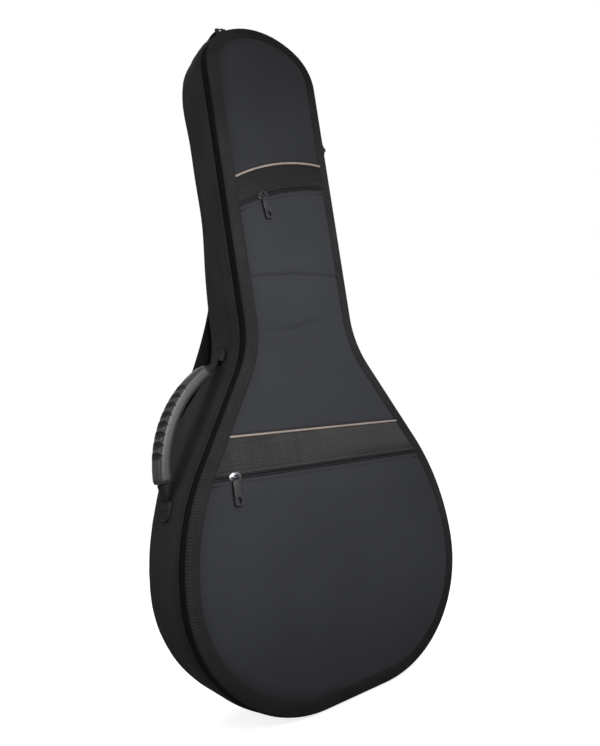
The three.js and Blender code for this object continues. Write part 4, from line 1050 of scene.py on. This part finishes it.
def lid_stitching():
    """Sewing on the lid: rows beside zips and piping, and slanted stitches over the band's outer edge."""
    rows = []
    beside_zip = ZIP_CHANNEL + 1.6
    for seam, rise in (
        (SMALL_ZIP, beside_zip),
        (SMALL_ZIP, -beside_zip),
        (LARGE_ZIP, beside_zip),
        (LARGE_ZIP, -beside_zip),
        (UPPER_PIPING, 3.4),
        (LOWER_PIPING, 3.4),
        (POCKET_BOTTOM, 2.2),
    ):
        x, z, _ = seam_path(seam, STITCH_PITCH, rise, PANEL_INSET + 1)
        hemmed = hem(2.6) if abs(rise) == beside_zip else 0
        rows.append(np.stack([x, SEAM_Y - LID_CLOTH - lid_rise(x, z) - hemmed - 0.05, z], -1))
    sew("lid_stitching", rows, TOWARDS_FRONT, 2.4, 0.26, "lid")
    line = seam_line(3.4)
    places = ((-6.6, -10.3), (-0.6, -7.3), (-3.0, -9.0))
    start, end, near = (wall(line, [out], [back])[:, 0] for out, back in places)
    way = end - start + 0.6 * line.along()
    up = unit(np.stack([line.nx, np.full(len(line.x), -1.1), line.nz], -1))
    ribs = (line.x < 0) & (line.z > 120) & (line.z < 430)
    middle = (start + end) / 2 + up * 0.75
    piece = stitches("band_edge_ribs", middle[ribs], way[ribs], up[ribs], 5.6, 0.42)
    dress(piece, "lid", EDGE_THREAD)
    plain = ~ribs
    ways = [line.along()[plain]]
    sew("band_edge_stitching", [near[plain]], up[plain], 2.3, 0.26, "lid", ways)
    line = seam_line(3.2)
    place = wall(line, [-12.6], [-LID_CLOTH - 0.95])[:, 0]
    sew("band_inner_stitching", [place], TOWARDS_FRONT, 2.3, 0.26, "lid", [line.along()])


# Sliders and pulls


def place_points(points, origin, along, across, out):
    """Points in a slider's own frame, set on the bag: X along the zip, Y across it and Z out of it."""
    return points @ np.stack([along, across, out]) + origin


def puck(outline, rings, heights):
    """A domed plate: its outline scaled by `rings` at `heights`, from one face's middle to the other's."""
    flat = outline * np.asarray(rings)[:, None, None]
    up = np.broadcast_to(np.asarray(heights)[:, None, None], (len(rings), len(outline), 1))
    return np.concatenate([flat, up], -1)


def slider_outline(half, side, nose):
    """A slider from above: a superellipse drawn in to a nose at -X and squared at its tail."""
    x, y = oval(48, half, side, 0.75, 0.8).T
    y = y * (1 - nose * smooth((-x - 0.1 * half) / (0.9 * half)) - 0.14 * smooth((x - 0.2 * half) / half))
    return np.stack([x, y], -1)


def tube(path, radius, sides=10):
    """A round rod along a path in a slider's XZ plane."""
    way = unit(np.gradient(path, axis=0))
    side = np.stack([-way[:, 2], 0 * way[:, 0], way[:, 0]], -1)
    turn = turns(sides)[:, None]
    return path[:, None] + radius * (side[:, None] * np.cos(turn) + TOWARDS_BACK * np.sin(turn))


def slider_and_pull(stem, bodies, origin, along, out, nose, gaps, lean=0.0, loop=4.6, shift=0.0, metal=METAL):
    """A slider: two plates, a post, two lips and a bail; and its pull: a flat tab with a slot, hung by an eye.
    `nose` is the way that its narrow end points and `gaps` are the gaps under and over the chain and the lower
    plate's thickness. The bail's half length is `loop`, and the pull hangs `shift` off its middle, turned by
    `lean`. A longer bail has a flatter dome under it."""
    inner_gap, outer_gap, inner_thick = gaps
    across = np.cross(out, along)
    under, low = -0.8 - inner_gap, 0.8 + outer_gap
    high = low + 1.1
    bail_top = high + 3.1
    flat = 0.4 * (loop - 4.6)
    rings = [0.02, 0.3, 0.55, 0.75, 0.88, 0.96, 1.0, 1.0, 0.97, 0.5, 0.02]
    rounding = high + np.array([0.75, 0.7, 0.5, 0.25, 0.02, -0.2, -0.45])
    rounding -= flat * np.array([1, 1, 1, 0.8, 0.6, 0.4, 0.2])
    shapes = {"dome": puck(slider_outline(7.5, 5.8, 0.3), rings, [*rounding, low + 0.2, low, low, low])}
    rings = [0.02, 0.6, 0.96, 1.0, 1.0, 0.94, 0.5, 0.02]
    heights = under - np.array([0, 0, 0, 0.15, inner_thick - 0.25, inner_thick, inner_thick, inner_thick])
    shapes["under_plate"] = puck(0.98 * slider_outline(7.5, 4.4, 0.42), rings, heights)
    shapes["post"] = puck(oval(16, 2.0, 0.25) - [4.7, 0], [1, 1], [under - 0.2, low + 0.2])
    t = np.linspace(0, math.pi, 25)
    foot = low + 0.4
    arch = np.stack([-loop * power(np.cos(t), 0.6), 0 * t, foot + (bail_top - foot) * np.sin(t) ** 0.5], -1)
    shapes["bail"] = tube(arch, 0.9)
    x = np.linspace(-3.0, 4.6, 12)[:, None]
    section = rounded_section(0.7, 0.9, 0.25, 3)
    for word, side in (("left", -1), ("right", 1)):
        lip = (x, side * (3.98 - 0.05 * x) + section[:, 0], low + section[:, 1])
        shapes["lip_" + word] = np.stack(np.broadcast_arrays(*lip), -1)
    for word, points in shapes.items():
        points = place_points(points, origin, along * nose, across * nose, out)
        piece = surface(f"{stem}_new_slider_{word}", points, across=True, sharp=45)
        dress(piece, bodies + "_slider", metal, [stem + "_slider"] if word == "dome" else ())
    hinge = origin + out * bail_top + along * shift
    c, s = math.cos(lean), math.sin(lean)
    frame = hinge, along * c - across * s, across * c + along * s, out
    bore, wall_thick = 1.5, 1.05
    section = rounded_section(3.6, wall_thick, 0.35, 4)
    turn = turns(28)[:, None]
    r = bore + wall_thick / 2 + section[:, 1]
    eye = np.stack(np.broadcast_arrays(section[:, 0], r * np.cos(turn), r * np.sin(turn)), -1)
    piece = surface(f"{stem}_new_pull_eye", place_points(eye, *frame), around=True, across=True, sharp=60)
    dress(piece, bodies + "_pull", PULL_METAL, [stem + "_pull"])
    tab = place_points(pull_tab(), *frame)
    piece = surface(f"{stem}_new_pull_tab", tab, around=True, across=True, sharp=40)
    dress(piece, bodies + "_pull", PULL_METAL)


def pull_tab():
    """The tab: each ray from its slot's middle runs over the slot's rim, the bevelled face, the outer edge and
    the other face. It narrows to a neck at the eye."""
    turn = turns(72)
    centre = np.array([0.0, -24.6])
    ray = np.stack([np.cos(turn), np.sin(turn)], -1)
    top, low = -2.0, -30.2
    reach = np.linspace(0.2, 32, 900)
    x, y = np.moveaxis(centre + ray[:, None] * reach[:, None], -1, 0)
    wide = 3.7 + 1.4 * smooth((-y - 3.6) / 3.2)
    end = np.sqrt(np.maximum(1 - np.square(np.clip((-y - 26.6) / 3.6, 0, 1)), 0))
    wide = np.where((y > top) | (y < low), -1, wide * (0.45 + 0.55 * end))
    inside = np.abs(x) <= wide
    last = np.where(inside.all(1), len(reach) - 1, np.argmin(inside, axis=1) - 1)
    outer = reach[np.maximum(last, 0)]
    slot = 1 / np.hypot(ray[:, 0] / 2.5, ray[:, 1] / 3.4)
    half = 0.8
    heights = [0.25 - half, half - 0.25, half, half, half, half - 0.3, 0.3 - half, -half, -half, -half]
    heights = np.array(heights)[:, None, None]
    share = np.array([0.0, 0.0, 0.0, 0.1, 0.9, 1.0, 1.0, 0.9, 0.1, 0.0])[:, None]
    inset = np.array([0.0, 0.0, 0.25, 0.0, 0.0, 0.0, 0.0, 0.0, 0.0, 0.25])[:, None]
    flat = centre + ray * (slot + (outer - slot) * share + inset)[..., None]
    return np.concatenate([flat, np.broadcast_to(heights, (10, 72, 1))], -1)


def sliders():
    """The four sliders. Three are parked where the photograph shows them, and the second main slider on the
    right side of the neck, which it doesn't show."""
    pocket, main = (0.2, 0.2, 0.75), (1.0, 0.7, 1.1)
    chain_y = SEAM_Y + CHAIN_BACK
    x = -WAIST_HALF_WIDTH * 0.39
    turn = math.asin(x / SMALL_ZIP_RADIUS - math.sin(SMALL_ZIP_TILT))
    origin = np.array([x, chain_y, float(SMALL_ZIP(x))])
    along = np.array([math.cos(turn), 0, -math.sin(turn)])
    lean = math.radians(15)
    out = TOWARDS_FRONT
    slider_and_pull("small_zip", "small_pocket", origin, along, out, 1, pocket, lean, metal=PULL_METAL)
    x = -BODY_HALF_WIDTH * 0.631
    origin = np.array([x, chain_y, float(LARGE_ZIP(x))])
    along = unit(np.array([1, 0, LARGE_ZIP_SLOPE]))
    slider_and_pull("large_zip", "large_pocket", origin, along, out, 1, pocket)
    turn = math.radians(-30.3)
    out = np.array([math.sin(turn), 0, math.cos(turn)])
    origin = np.array([0, SEAM_Y, CASE_HEIGHT - CROWN_RADIUS]) + out * CROWN_RADIUS
    along = np.array([-out[2], 0, out[0]])
    slider_and_pull("main_zip_top", "top", origin, along, out, -1, main, loop=6.4, shift=3.6, metal=PULL_METAL)
    x, z = WAIST + (HEAD - WAIST) * 0.705
    neck = unit(HEAD - WAIST)
    along, out = np.array([neck[0], 0, neck[1]]), np.array([neck[1], 0, -neck[0]])
    origin = np.array([x, SEAM_Y, z])
    slider_and_pull("main_zip_side", "side", origin, along, out, -1, main, loop=6.4, metal=PULL_METAL)


# Side handle


def handle_frame():
    """The handle's frame from its two pivots, which stand 4.5 mm off the bulged wall: its middle, the way down
    it, the way out and half of its span."""
    low_z = SHOULDER[1] + SHOULDER_RADIUS * math.tan(FLARE / 2) * math.cos(FLARE)
    high_z = WAIST[1] - WAIST_RADIUS * math.tan(FLARE / 2) * math.cos(FLARE)
    spread = np.array([87, -87]) * math.cos(FLARE)
    z = (low_z + high_z) / 2 - 6 + spread
    line = HALF.part(HALF.z > SEAM_RISE + 0.01)
    x, nx, nz = (np.interp(z, line.z, values) for values in (line.x, line.nx, line.nz))
    rise = WALL_BULGE + 4.5
    pivots = np.stack([-(x + nx * rise), np.full(2, SEAM_Y + GRIP_BACK), z + nz * rise], -1)
    along = unit(pivots[1] - pivots[0])
    out = np.array([along[2], 0, -along[0]])
    return pivots.mean(0), along, out, np.linalg.norm(pivots[1] - pivots[0]) / 2


def handle():
    """The moulded grip: a rounded bar on an arc, with eight oval grooves over its outer face and a bore for
    webbing; and the webbing, which narrows to each sewn end."""
    centre, along, out, half_span = handle_frame()
    radius, top, half_turn = 140.0, 28.0, math.asin(69.5 / 140)

    def at(turn, across, rise):
        """Points so far along the grip's arc, across it and out of its middle line."""
        turn, across, r = np.broadcast_arrays(turn, across, radius + np.asarray(rise))
        x, z = (r * np.sin(turn))[..., None], (top - radius + r * np.cos(turn))[..., None]
        return centre + along * x + out * z + TOWARDS_BACK * across[..., None]

    turn = np.linspace(-half_turn, half_turn, 300)
    across, rise = oval(96, 13.5, 8, 0.5, 0.5).T
    ends = np.clip((np.abs(turn) - half_turn + 0.035) / 0.035, 0, 1)
    fuller = (0.985 * (1 - 0.16 * ends**2) * (1 + 0.05 * np.cos(turn / half_turn * math.pi / 2)))[:, None]
    pitch, groove_half_wide, groove_half_long, groove_depth = 11.3, 3.7, 11.8, 3.0
    run = turn * radius - 4
    place = (run + pitch * 4) / pitch - 0.5
    off = (place - np.round(place)) * pitch
    grooved = (np.abs(run) < pitch * 4)[:, None] * smooth((np.sin(turns(96)) + 0.02) / 0.3)
    groove = np.sqrt(np.square(off / groove_half_wide)[:, None] + ((across + 1.5) / groove_half_long) ** 4)
    deep = np.clip(1 - groove, 0, 1) ** 0.45 * grooved
    lip = 0.4 * bump((groove - 1.15) / 0.15) * grooved
    bar = at(turn[:, None], across * fuller, rise * fuller - groove_depth * deep + lip)
    inner_turn = np.linspace(half_turn - 0.08, 0.08 - half_turn, 20)
    inner_turn = np.concatenate([[half_turn, half_turn - 0.004], inner_turn, [0.004 - half_turn, -half_turn]])
    bore = at(inner_turn[:, None], *oval(96, 10.35, 1.3, 0.3, 0.3).T)
    piece = surface("grip_rubber_bar", np.concatenate([bar, bore]), around=True, across=True, sharp=42)
    # painted shade in the grooves: the deeper, the darker
    mark(piece, "painted_shade", np.concatenate([np.clip(deep * 1.5, 0, 1), np.zeros(bore.shape[:2])]))
    dress(piece, "handle", RUBBER, ["handle_grip"])

    arc = at(np.linspace(-half_turn, half_turn, 40), 0, 0)
    tips = [centre - along * (half_span - 0.9), centre + along * (half_span - 0.9)]
    t = np.linspace(0, 1, 14)[:, None]
    first, last = tips[0] + (arc[0] - tips[0]) * t, arc[-1] + (tips[1] - arc[-1]) * t
    path = np.concatenate([first[:-1], arc, last[1:]])
    run = run_along(path)
    to_end = np.minimum(run, run[-1] - run)
    free = np.linalg.norm(arc[0] - tips[0])
    share = np.clip(to_end / free, 0, 1)
    outside = smooth((free + 0.2 - to_end) / 0.6)
    lower = run > run[-1] / 2
    width = np.where(lower, 12.5 + 3.5 * smooth(to_end / 6) + 4 * share, 13 + 7 * share)
    thick = 2.2 + outside * np.where(lower, 1.8 * smooth(to_end / 6) + 4.7 * share, 8.0 * share)
    up = np.cross(TOWARDS_BACK, unit(np.gradient(path, axis=0)))
    up = up * np.sign(up @ out)[:, None]
    section = rounded_section(1, 1, 0.2, 4)
    wide, high = section[:, 0] * width[:, None], section[:, 1] * thick[:, None]
    points = path[:, None] + TOWARDS_BACK * wide[..., None] + up[:, None] * high[..., None]
    piece = surface("handle_webbing_strap", points, across=True, uv=tube_uv(run, section[:, 0] * 20))
    dress(piece, "handle", WEBBING, ["handle_webbing"])


def handle_patches():
    """Folded patches that hold the handle: high at the pivot, thin at the far end, with two sewn lines."""
    line = seam_line(0.8)
    z = line.z + line.nz * (WALL_BULGE + 4)
    across, up = rounded_section(1, 1, 0.16, 6).T
    for word, way in (("upper", 1), ("lower", -1)):
        low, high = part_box("handle_patch_" + word)
        part = line.part((line.x < 0) & (z > low[2] / MM + 0.6) & (z < high[2] / MM - 0.6))
        along = (part.z - part.z.min()) / np.ptp(part.z)
        t = (along if way > 0 else 1 - along)[:, None]
        height = 6.6 - 4.4 * np.sqrt(t) + 0.9 * bump((t - 0.35) / 0.12)
        width = 28 * np.sqrt(np.clip(1 - (np.clip(t - 0.5, 0, 1) / 0.52) ** 2, 0.02, 1)) - 2.5 * bump(t / 0.12)
        sewn = 0.6 * bump((np.abs(across) - 0.36) / 0.04) * (up > 0.3)
        out = WALL_BULGE + 0.4 + height * (up + 0.5) - sewn
        piece = ring("handle_fold_" + word, out, GRIP_BACK + width * across, line=part, closed=False)
        # painted shade at the patch's ends: darkest at its high end by the pivot, lighter at its far end
        shade = 0.9 * bump(t / 0.05) + 0.5 * bump((t - 1) / 0.04)
        mark(piece, "painted_shade", np.broadcast_to(shade, out.shape))
        dress(piece, "case_back", SIDE, ["handle_patch_" + word])


# Back: straps and hang loop


def back_point(x, z, rise):
    """A point on the case's back, so far off its outer cloth."""
    x, z, rise = np.broadcast_arrays(*(np.asarray(a, float) for a in (x, z, rise)))
    return np.stack([x, SEAM_Y + depth_at(z) + 1.5 + rise, z], -1)


def strap_yoke():
    """The sewn yoke over the tops of both pads, with a rounded edge."""
    low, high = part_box("strap_yoke")
    half_wide, hem_inset = 68, 3
    z = np.linspace(low[2] / MM + 0.2, high[2] / MM - 0.2, 34)[:, None]
    width = half_wide - 1.5 * np.square((z - z.mean()) / np.ptp(z) * 2)
    across, up = oval(64, 1, 1, 0.25, 0.45).T
    rise = 1.8 + 1.45 * up + 0.25 * folds(across * 60, z, 24, 14, 81) * (up > 0.6)
    points = back_point(across * width, z, rise)
    piece = surface("yoke_cloth", points, across=True, uv=tube_uv(z[:, 0], across * half_wide))
    dress(piece, "case_back", SIDE, ["strap_yoke"])
    x = np.arange(-64, 64.1, STITCH_PITCH)
    rows = [back_point(x, level, 3.3) for level in (z[0, 0] + hem_inset, z[-1, 0] - hem_inset)]
    sew("yoke_stitching", rows, TOWARDS_BACK, 2.4, 0.3, "case_back")


def bezier(points, t):
    """A cubic curve: four points weighted (1-t)^3, 3t(1-t)^2, 3t^2(1-t) and t^3."""
    a, b, c, d = points
    t = t[:, None]
    return a * (1 - t) ** 3 + 3 * b * t * (1 - t) ** 2 + 3 * c * t**2 * (1 - t) + d * t**3


def shoulder_straps():
    """Each strap: a curved pad with a bound edge and sewn lines, webbing with a ladder-lock, and an anchor."""
    pad_top = np.array([35.0, neck_at(0.36)])
    pad_end = np.array([BODY_HALF_WIDTH * 0.578, 300.0])
    strap_end = np.array([BODY_HALF_WIDTH * 0.66, 112.0])
    tail_way = unit(strap_end - pad_end)
    control = [pad_top, pad_top - [0, 120], pad_end - tail_way * 70, pad_end]
    tail = np.linalg.norm(strap_end - pad_end)
    pad_half, pad_thick, sewn_offset, sewn_rise = 27.3, 4.7, 22.6, 8.9
    t = np.linspace(0, 1, 110)
    path = bezier(control, t)
    way = unit(np.gradient(path, axis=0))
    run = run_along(path)
    close = np.clip(np.minimum(run + 3, run[-1] - run + 1.5) / 6, 0.0, 1)[:, None] ** 0.4
    across, up = oval(60, pad_half, 1, 0.4, 0.75).T
    rim = 0.8 * bump((np.abs(across) - 23) / 2.2) * (up > 0.2)
    width = across * (0.93 + 0.07 * close)
    steps = np.interp(np.arange(4, run[-1] - 4, STITCH_PITCH), run, t)
    sewn = bezier(control, steps)
    sewn_way = np.stack([np.interp(steps, t, way[:, 0]), np.interp(steps, t, way[:, 1])], -1)
    for side, word in ((-1, "left"), (1, "right")):
        quilt = 0.25 * folds(run[:, None], across, 18, 14, 85 + side) * (up > 0.3)
        rise = 0.45 + pad_thick * (0.55 + 0.45 * close) * (1 + up) - rim + quilt
        x, z = side * (path[:, :1] - way[:, 1:] * width), path[:, 1:] + way[:, :1] * width
        piece = surface("pad_" + word, back_point(x, z, rise), across=True, uv=tube_uv(run, across))
        dress(piece, "case_back", PAD, ["strap_pad_" + word])
        rows = []
        for offset in (-sewn_offset, sewn_offset):
            x, z = sewn[:, 0] - sewn_way[:, 1] * offset, sewn[:, 1] + sewn_way[:, 0] * offset
            rows.append(back_point(side * x, z, sewn_rise))
        ways = [np.stack([side * sewn_way[:, 0], 0 * steps, sewn_way[:, 1]], -1)] * 2
        sew("pad_stitching_" + word, rows, TOWARDS_BACK, 2.4, 0.3, "case_back", ways)

        def on_tail(along, across, rise):
            """Points so far down the strap's tail, across it and off the back."""
            x = pad_end[0] + tail_way[0] * along - tail_way[1] * across
            z = pad_end[1] + tail_way[1] * along + tail_way[0] * across
            return back_point(side * x, z, rise)

        strap_hardware(word, tail, on_tail)


def rounded_route(corners, radius, spacing=0.8):
    """A route of straight runs with corners rounded within a radius, in even steps, and its running length."""
    corners = np.asarray(corners, float)
    pieces = [corners[:1]]
    t = np.linspace(0, 1, 9)[:, None]
    for before, corner, after in zip(corners[:-2], corners[1:-1], corners[2:]):
        room = min(np.linalg.norm(corner - before), np.linalg.norm(after - corner)) * 0.49
        way_in, way_out = unit(corner - before), unit(after - corner)
        bend = math.tan(math.acos(float(np.clip(way_in @ way_out, -1, 1))) / 2)
        cut = bend * min(radius, room / max(bend, 1e-6))
        a, b = corner - way_in * cut, corner + way_out * cut
        pieces.append(a * (1 - t) ** 2 + 2 * corner * t * (1 - t) + b * t**2)
    line = np.concatenate([*pieces, corners[-1:]])
    run = run_along(line)
    s = np.linspace(0, run[-1], int(run[-1] / spacing) + 2)
    return np.stack([np.interp(s, run, line[:, 0]), np.interp(s, run, line[:, 1])], -1), s


def side_ribbon(name, route, s, section, place, node):
    """Webbing whose side view is a route of [along, rise], set on the bag by `place`."""
    way = unit(np.gradient(route, axis=0))
    along, rise = route[:, :1] - way[:, 1:] * section[:, 1], route[:, 1:] + way[:, :1] * section[:, 1]
    points = place(along, section[:, 0], rise)
    piece = surface(name, points, across=True, uv=tube_uv(s, section[:, 0]))
    dress(piece, "case_back", WEBBING, [node])


def strap_hardware(word, tail, on_tail):
    """The buckle's frame and bars, its webbing loop, the strap's webbing with its free tail, and the anchor.
    Lengths run down the strap from the pad's end, and heights off the back's cloth."""
    free = 3.3
    low, high = free + 1.1, free + 4.3
    mean = (low + high) / 2
    start, bar, middle, end = 11.0, 4.0, 5.0, 39.0
    mid = 22.0
    across = np.linspace(-13.6, 13.6, 30)[:, None]
    for name, a, b, thick in (
        ("head_bar", start, start + bar, 1.6),
        ("middle_bar", mid, mid + middle, 1.35),
        ("tail_bar", end - bar, end, 1.6),
    ):
        along, rise = (oval(40, (b - a) / 2, thick, 0.6, 0.6) + [(a + b) / 2, mean]).T
        nodes = ()
        if name == "middle_bar":
            rise = rise + 0.15 * np.cos(across * math.pi / 1.5) * (np.sin(turns(40)) > 0.3)
            nodes = ["strap_buckle_" + word]
        piece = surface(f"buckle_{name}_{word}", on_tail(along, across, rise), across=True)
        dress(piece, "case_back", BUCKLE, nodes)
    along = np.linspace(start, end, 40)[:, None]
    tips = np.clip(np.minimum(along - start, end - along) / 1.5, 0.35, 1) ** 0.5
    across, rise = oval(40, 1.85, 1.6, 0.6, 0.6).T
    for middle_x, rail in ((-15.15, "left"), (15.15, "right")):
        points = on_tail(along, middle_x + across * tips, mean + rise * tips)
        piece = surface(f"buckle_rail_{rail}_{word}", points, across=True)
        dress(piece, "case_back", BUCKLE)
    fold, below, above = start + bar + 0.9, low - 0.9, high + 0.9
    route, s = rounded_route([[0.4, below], [fold, below], [fold, above], [0.4, above]], 1.4)
    section = rounded_section(24.6, 1.15, 0.45, 4)
    side_ribbon("buckle_loop_" + word, route, s, section, on_tail, "strap_buckle_loop_" + word)
    up, down, top = mid - 1.1, mid + middle + 1.1, high + 1.1
    corners = [[tail - 0.4, 1.1], [tail * 0.6, 1.1], [up, 1.1], [up, top], [down, top], [down, free]]
    route, s = rounded_route([*corners, [end + 30, free], [end + 60, free]], 1.2)
    section = rounded_section(24.8, 1.5, 0.45, 4)
    side_ribbon("strap_web_" + word, route, s, section, on_tail, "strap_webbing_" + word)
    anchor_long, near_half, far_half = 38, 15, 27
    along = np.linspace(tail + 0.2, tail + anchor_long - 0.2, 30)[:, None]
    half = near_half + (far_half - near_half) * (along - tail) / anchor_long
    across, rise = oval(40, 1, 0.95, 0.3, 0.5).T
    points = on_tail(along, half * across, 1.35 + rise)
    piece = surface("anchor_cloth_" + word, points, across=True, uv=tube_uv(along[:, 0], across * far_half))
    dress(piece, "case_back", SIDE, ["strap_anchor_" + word])
    rows = []
    sides = [(3, -12.5, 35, -23), (3, 12.5, 35, 23), (35, -23, 35, 23)]
    for a0, w0, a1, w1 in [*sides, (3, -12.5, 35, 23), (3, 12.5, 35, -23)]:
        t = np.linspace(0, 1, int(math.hypot(a1 - a0, w1 - w0) / 3.2))
        rows.append(on_tail(tail + a0 + (a1 - a0) * t, w0 + (w1 - w0) * t, 2.35))
    sew("anchor_stitching_" + word, rows, TOWARDS_BACK, 2.3, 0.28, "case_back")


def hang_loop():
    """Webbing loop at the top of the back: flat sewn ends and an arch that rises as a sine to the power 0.8."""
    t = np.linspace(0, 1, 90)
    low, arch, span, sewn = 1.1, 22, 80, 14
    ends = np.linspace(0.8, sewn, 14)
    along = np.concatenate([-ends[::-1], span * t, span + ends])
    rise = np.concatenate([np.full(14, low), low + arch * np.sin(math.pi * t) ** 0.8, np.full(14, low)])
    rise = np.convolve(np.pad(rise, 4, mode="edge"), np.ones(9) / 9, mode="valid")
    route = np.stack([along, rise], -1)
    place = lambda along, across, rise: back_point(across, 700 + along, rise)
    section = rounded_section(24.8, 1.55, 0.5, 4)
    side_ribbon("hang_loop_web", route, run_along(route), section, place, "hang_loop")
    rows = []
    u = np.linspace(0, 1, 7)
    for base in (687.5, 782.5):
        for x0, z0, x1, z1 in ((-10, 0, 10, 0), (-10, 10, 10, 10), (-10, 0, 10, 10), (-10, 10, 10, 0)):
            rows.append(back_point(x0 + (x1 - x0) * u, base + z0 + (z1 - z0) * u, 2.0))
    sew("loop_stitching", rows, TOWARDS_BACK, 2.4, 0.28, "case_back")


# Studio


def area_lamp(name, place, target, size, power):
    """A round soft lamp that faces its target."""
    lamp = bpy.data.lights.new(name, "AREA")
    lamp.shape = "DISK"
    lamp.size = size
    lamp.energy = power
    thing = bpy.data.objects.new(name, lamp)
    thing.location = place
    thing.rotation_euler = (Vector(target) - Vector(place)).to_track_quat("-Z", "Y").to_euler()
    bpy.context.scene.collection.objects.link(thing)


def surround(world):
    """A soft light that the camera sees as white."""
    world.use_nodes = True
    tree = world.node_tree
    tree.nodes.clear()
    path = tree.nodes.new("ShaderNodeLightPath")
    mix = tree.nodes.new("ShaderNodeMixShader")
    tree.links.new(path.outputs["Is Camera Ray"], mix.inputs[0])
    for slot, colour, strength in ((1, (0.97, 0.985, 1.0, 1), 0.3), (2, (1, 1, 1, 1), 1.0)):
        light = tree.nodes.new("ShaderNodeBackground")
        light.inputs["Color"].default_value = colour
        light.inputs["Strength"].default_value = strength
        tree.links.new(light.outputs[0], mix.inputs[slot])
    out = tree.nodes.new("ShaderNodeOutputWorld")
    tree.links.new(mix.outputs[0], out.inputs["Surface"])


def studio_floor():
    """A floor just under the bag, which takes its shadow and looks nearly white to the camera."""
    half, level = 9, -0.0006
    mesh = bpy.data.meshes.new("studio_floor")
    corners = [(-half, -half, level), (half, -half, level), (half, half, level), (-half, half, level)]
    mesh.from_pydata(corners, [], [(0, 1, 2, 3)])
    floor = bpy.data.objects.new("studio_floor", mesh)
    bpy.context.scene.collection.objects.link(floor)
    material, tree, shader = base_material("studio floor", roughness=0.95, specular=0.0)
    shader.inputs["Emission Color"].default_value = (1, 1, 1, 1)
    seen = tree.nodes.new("ShaderNodeLightPath").outputs["Is Camera Ray"]
    shade = math_node(tree, "MULTIPLY_ADD", seen, 0.55, 0.25)
    tint = tree.nodes.new("ShaderNodeCombineColor")
    for channel in ("Red", "Green", "Blue"):
        tree.links.new(shade, tint.inputs[channel])
    tree.links.new(tint.outputs[0], shader.inputs["Base Color"])
    tree.links.new(math_node(tree, "MULTIPLY", seen, 0.8), shader.inputs["Emission Strength"])
    mesh.materials.append(material)


def photo_camera(scene):
    """The photograph's camera: it looks at a target from its distance, turned by yaw, pitch and roll."""
    yaw, pitch, roll, distance = -0.599, -0.115, -0.151, 0.7928
    target = Vector((0.0252, 0.0, 0.3816))
    focal_pixels, picture_pixels, sensor = 611, 746, 36
    back = Vector((math.sin(yaw) * math.cos(pitch), -math.cos(yaw) * math.cos(pitch), math.sin(pitch)))
    right = (-back).cross(Vector((0, 0, 1))).normalized()
    up = right.cross(-back)
    turned_right = right * math.cos(roll) + up * math.sin(roll)
    turned_up = up * math.cos(roll) - right * math.sin(roll)
    camera = bpy.data.cameras.new("camera")
    camera.sensor_width = sensor
    camera.lens = focal_pixels * sensor / picture_pixels
    camera.clip_start = 0.05
    camera.clip_end = 40
    thing = bpy.data.objects.new("camera", camera)
    matrix = Matrix((turned_right, turned_up, back)).transposed().to_4x4()
    matrix.translation = target + back * distance
    thing.matrix_world = matrix
    scene.collection.objects.link(thing)
    scene.camera = thing


def studio():
    """White floor and surround, soft lamps, and the camera at the photograph's place."""
    scene = bpy.context.scene
    scene.world = bpy.data.worlds.new("studio")
    surround(scene.world)
    studio_floor()
    area_lamp("key", (-0.1, -0.64, 0.5), (0, 0, 0.45), 0.4, 3.5)
    area_lamp("fill", (-1.5, 0.3, 0.8), (0, 0, 0.4), 0.8, 4)
    area_lamp("top", (0.3, 0.5, 1.9), (0, 0, 0.5), 0.9, 4)
    area_lamp("rear", (0.9, 1.6, 1.1), (0, 0, 0.4), 1.2, 3)
    photo_camera(scene)
    scene.view_settings.view_transform = "Standard"


studio()
side_wall()
back_wall()
linings()
main_zip()
hinge_strip()
lid_padding()
lid_panels()
pipings()
pocket_zips()
edge_band()
lid_stitching()
sliders()
handle()
handle_patches()
strap_yoke()
shoulder_straps()
hang_loop()
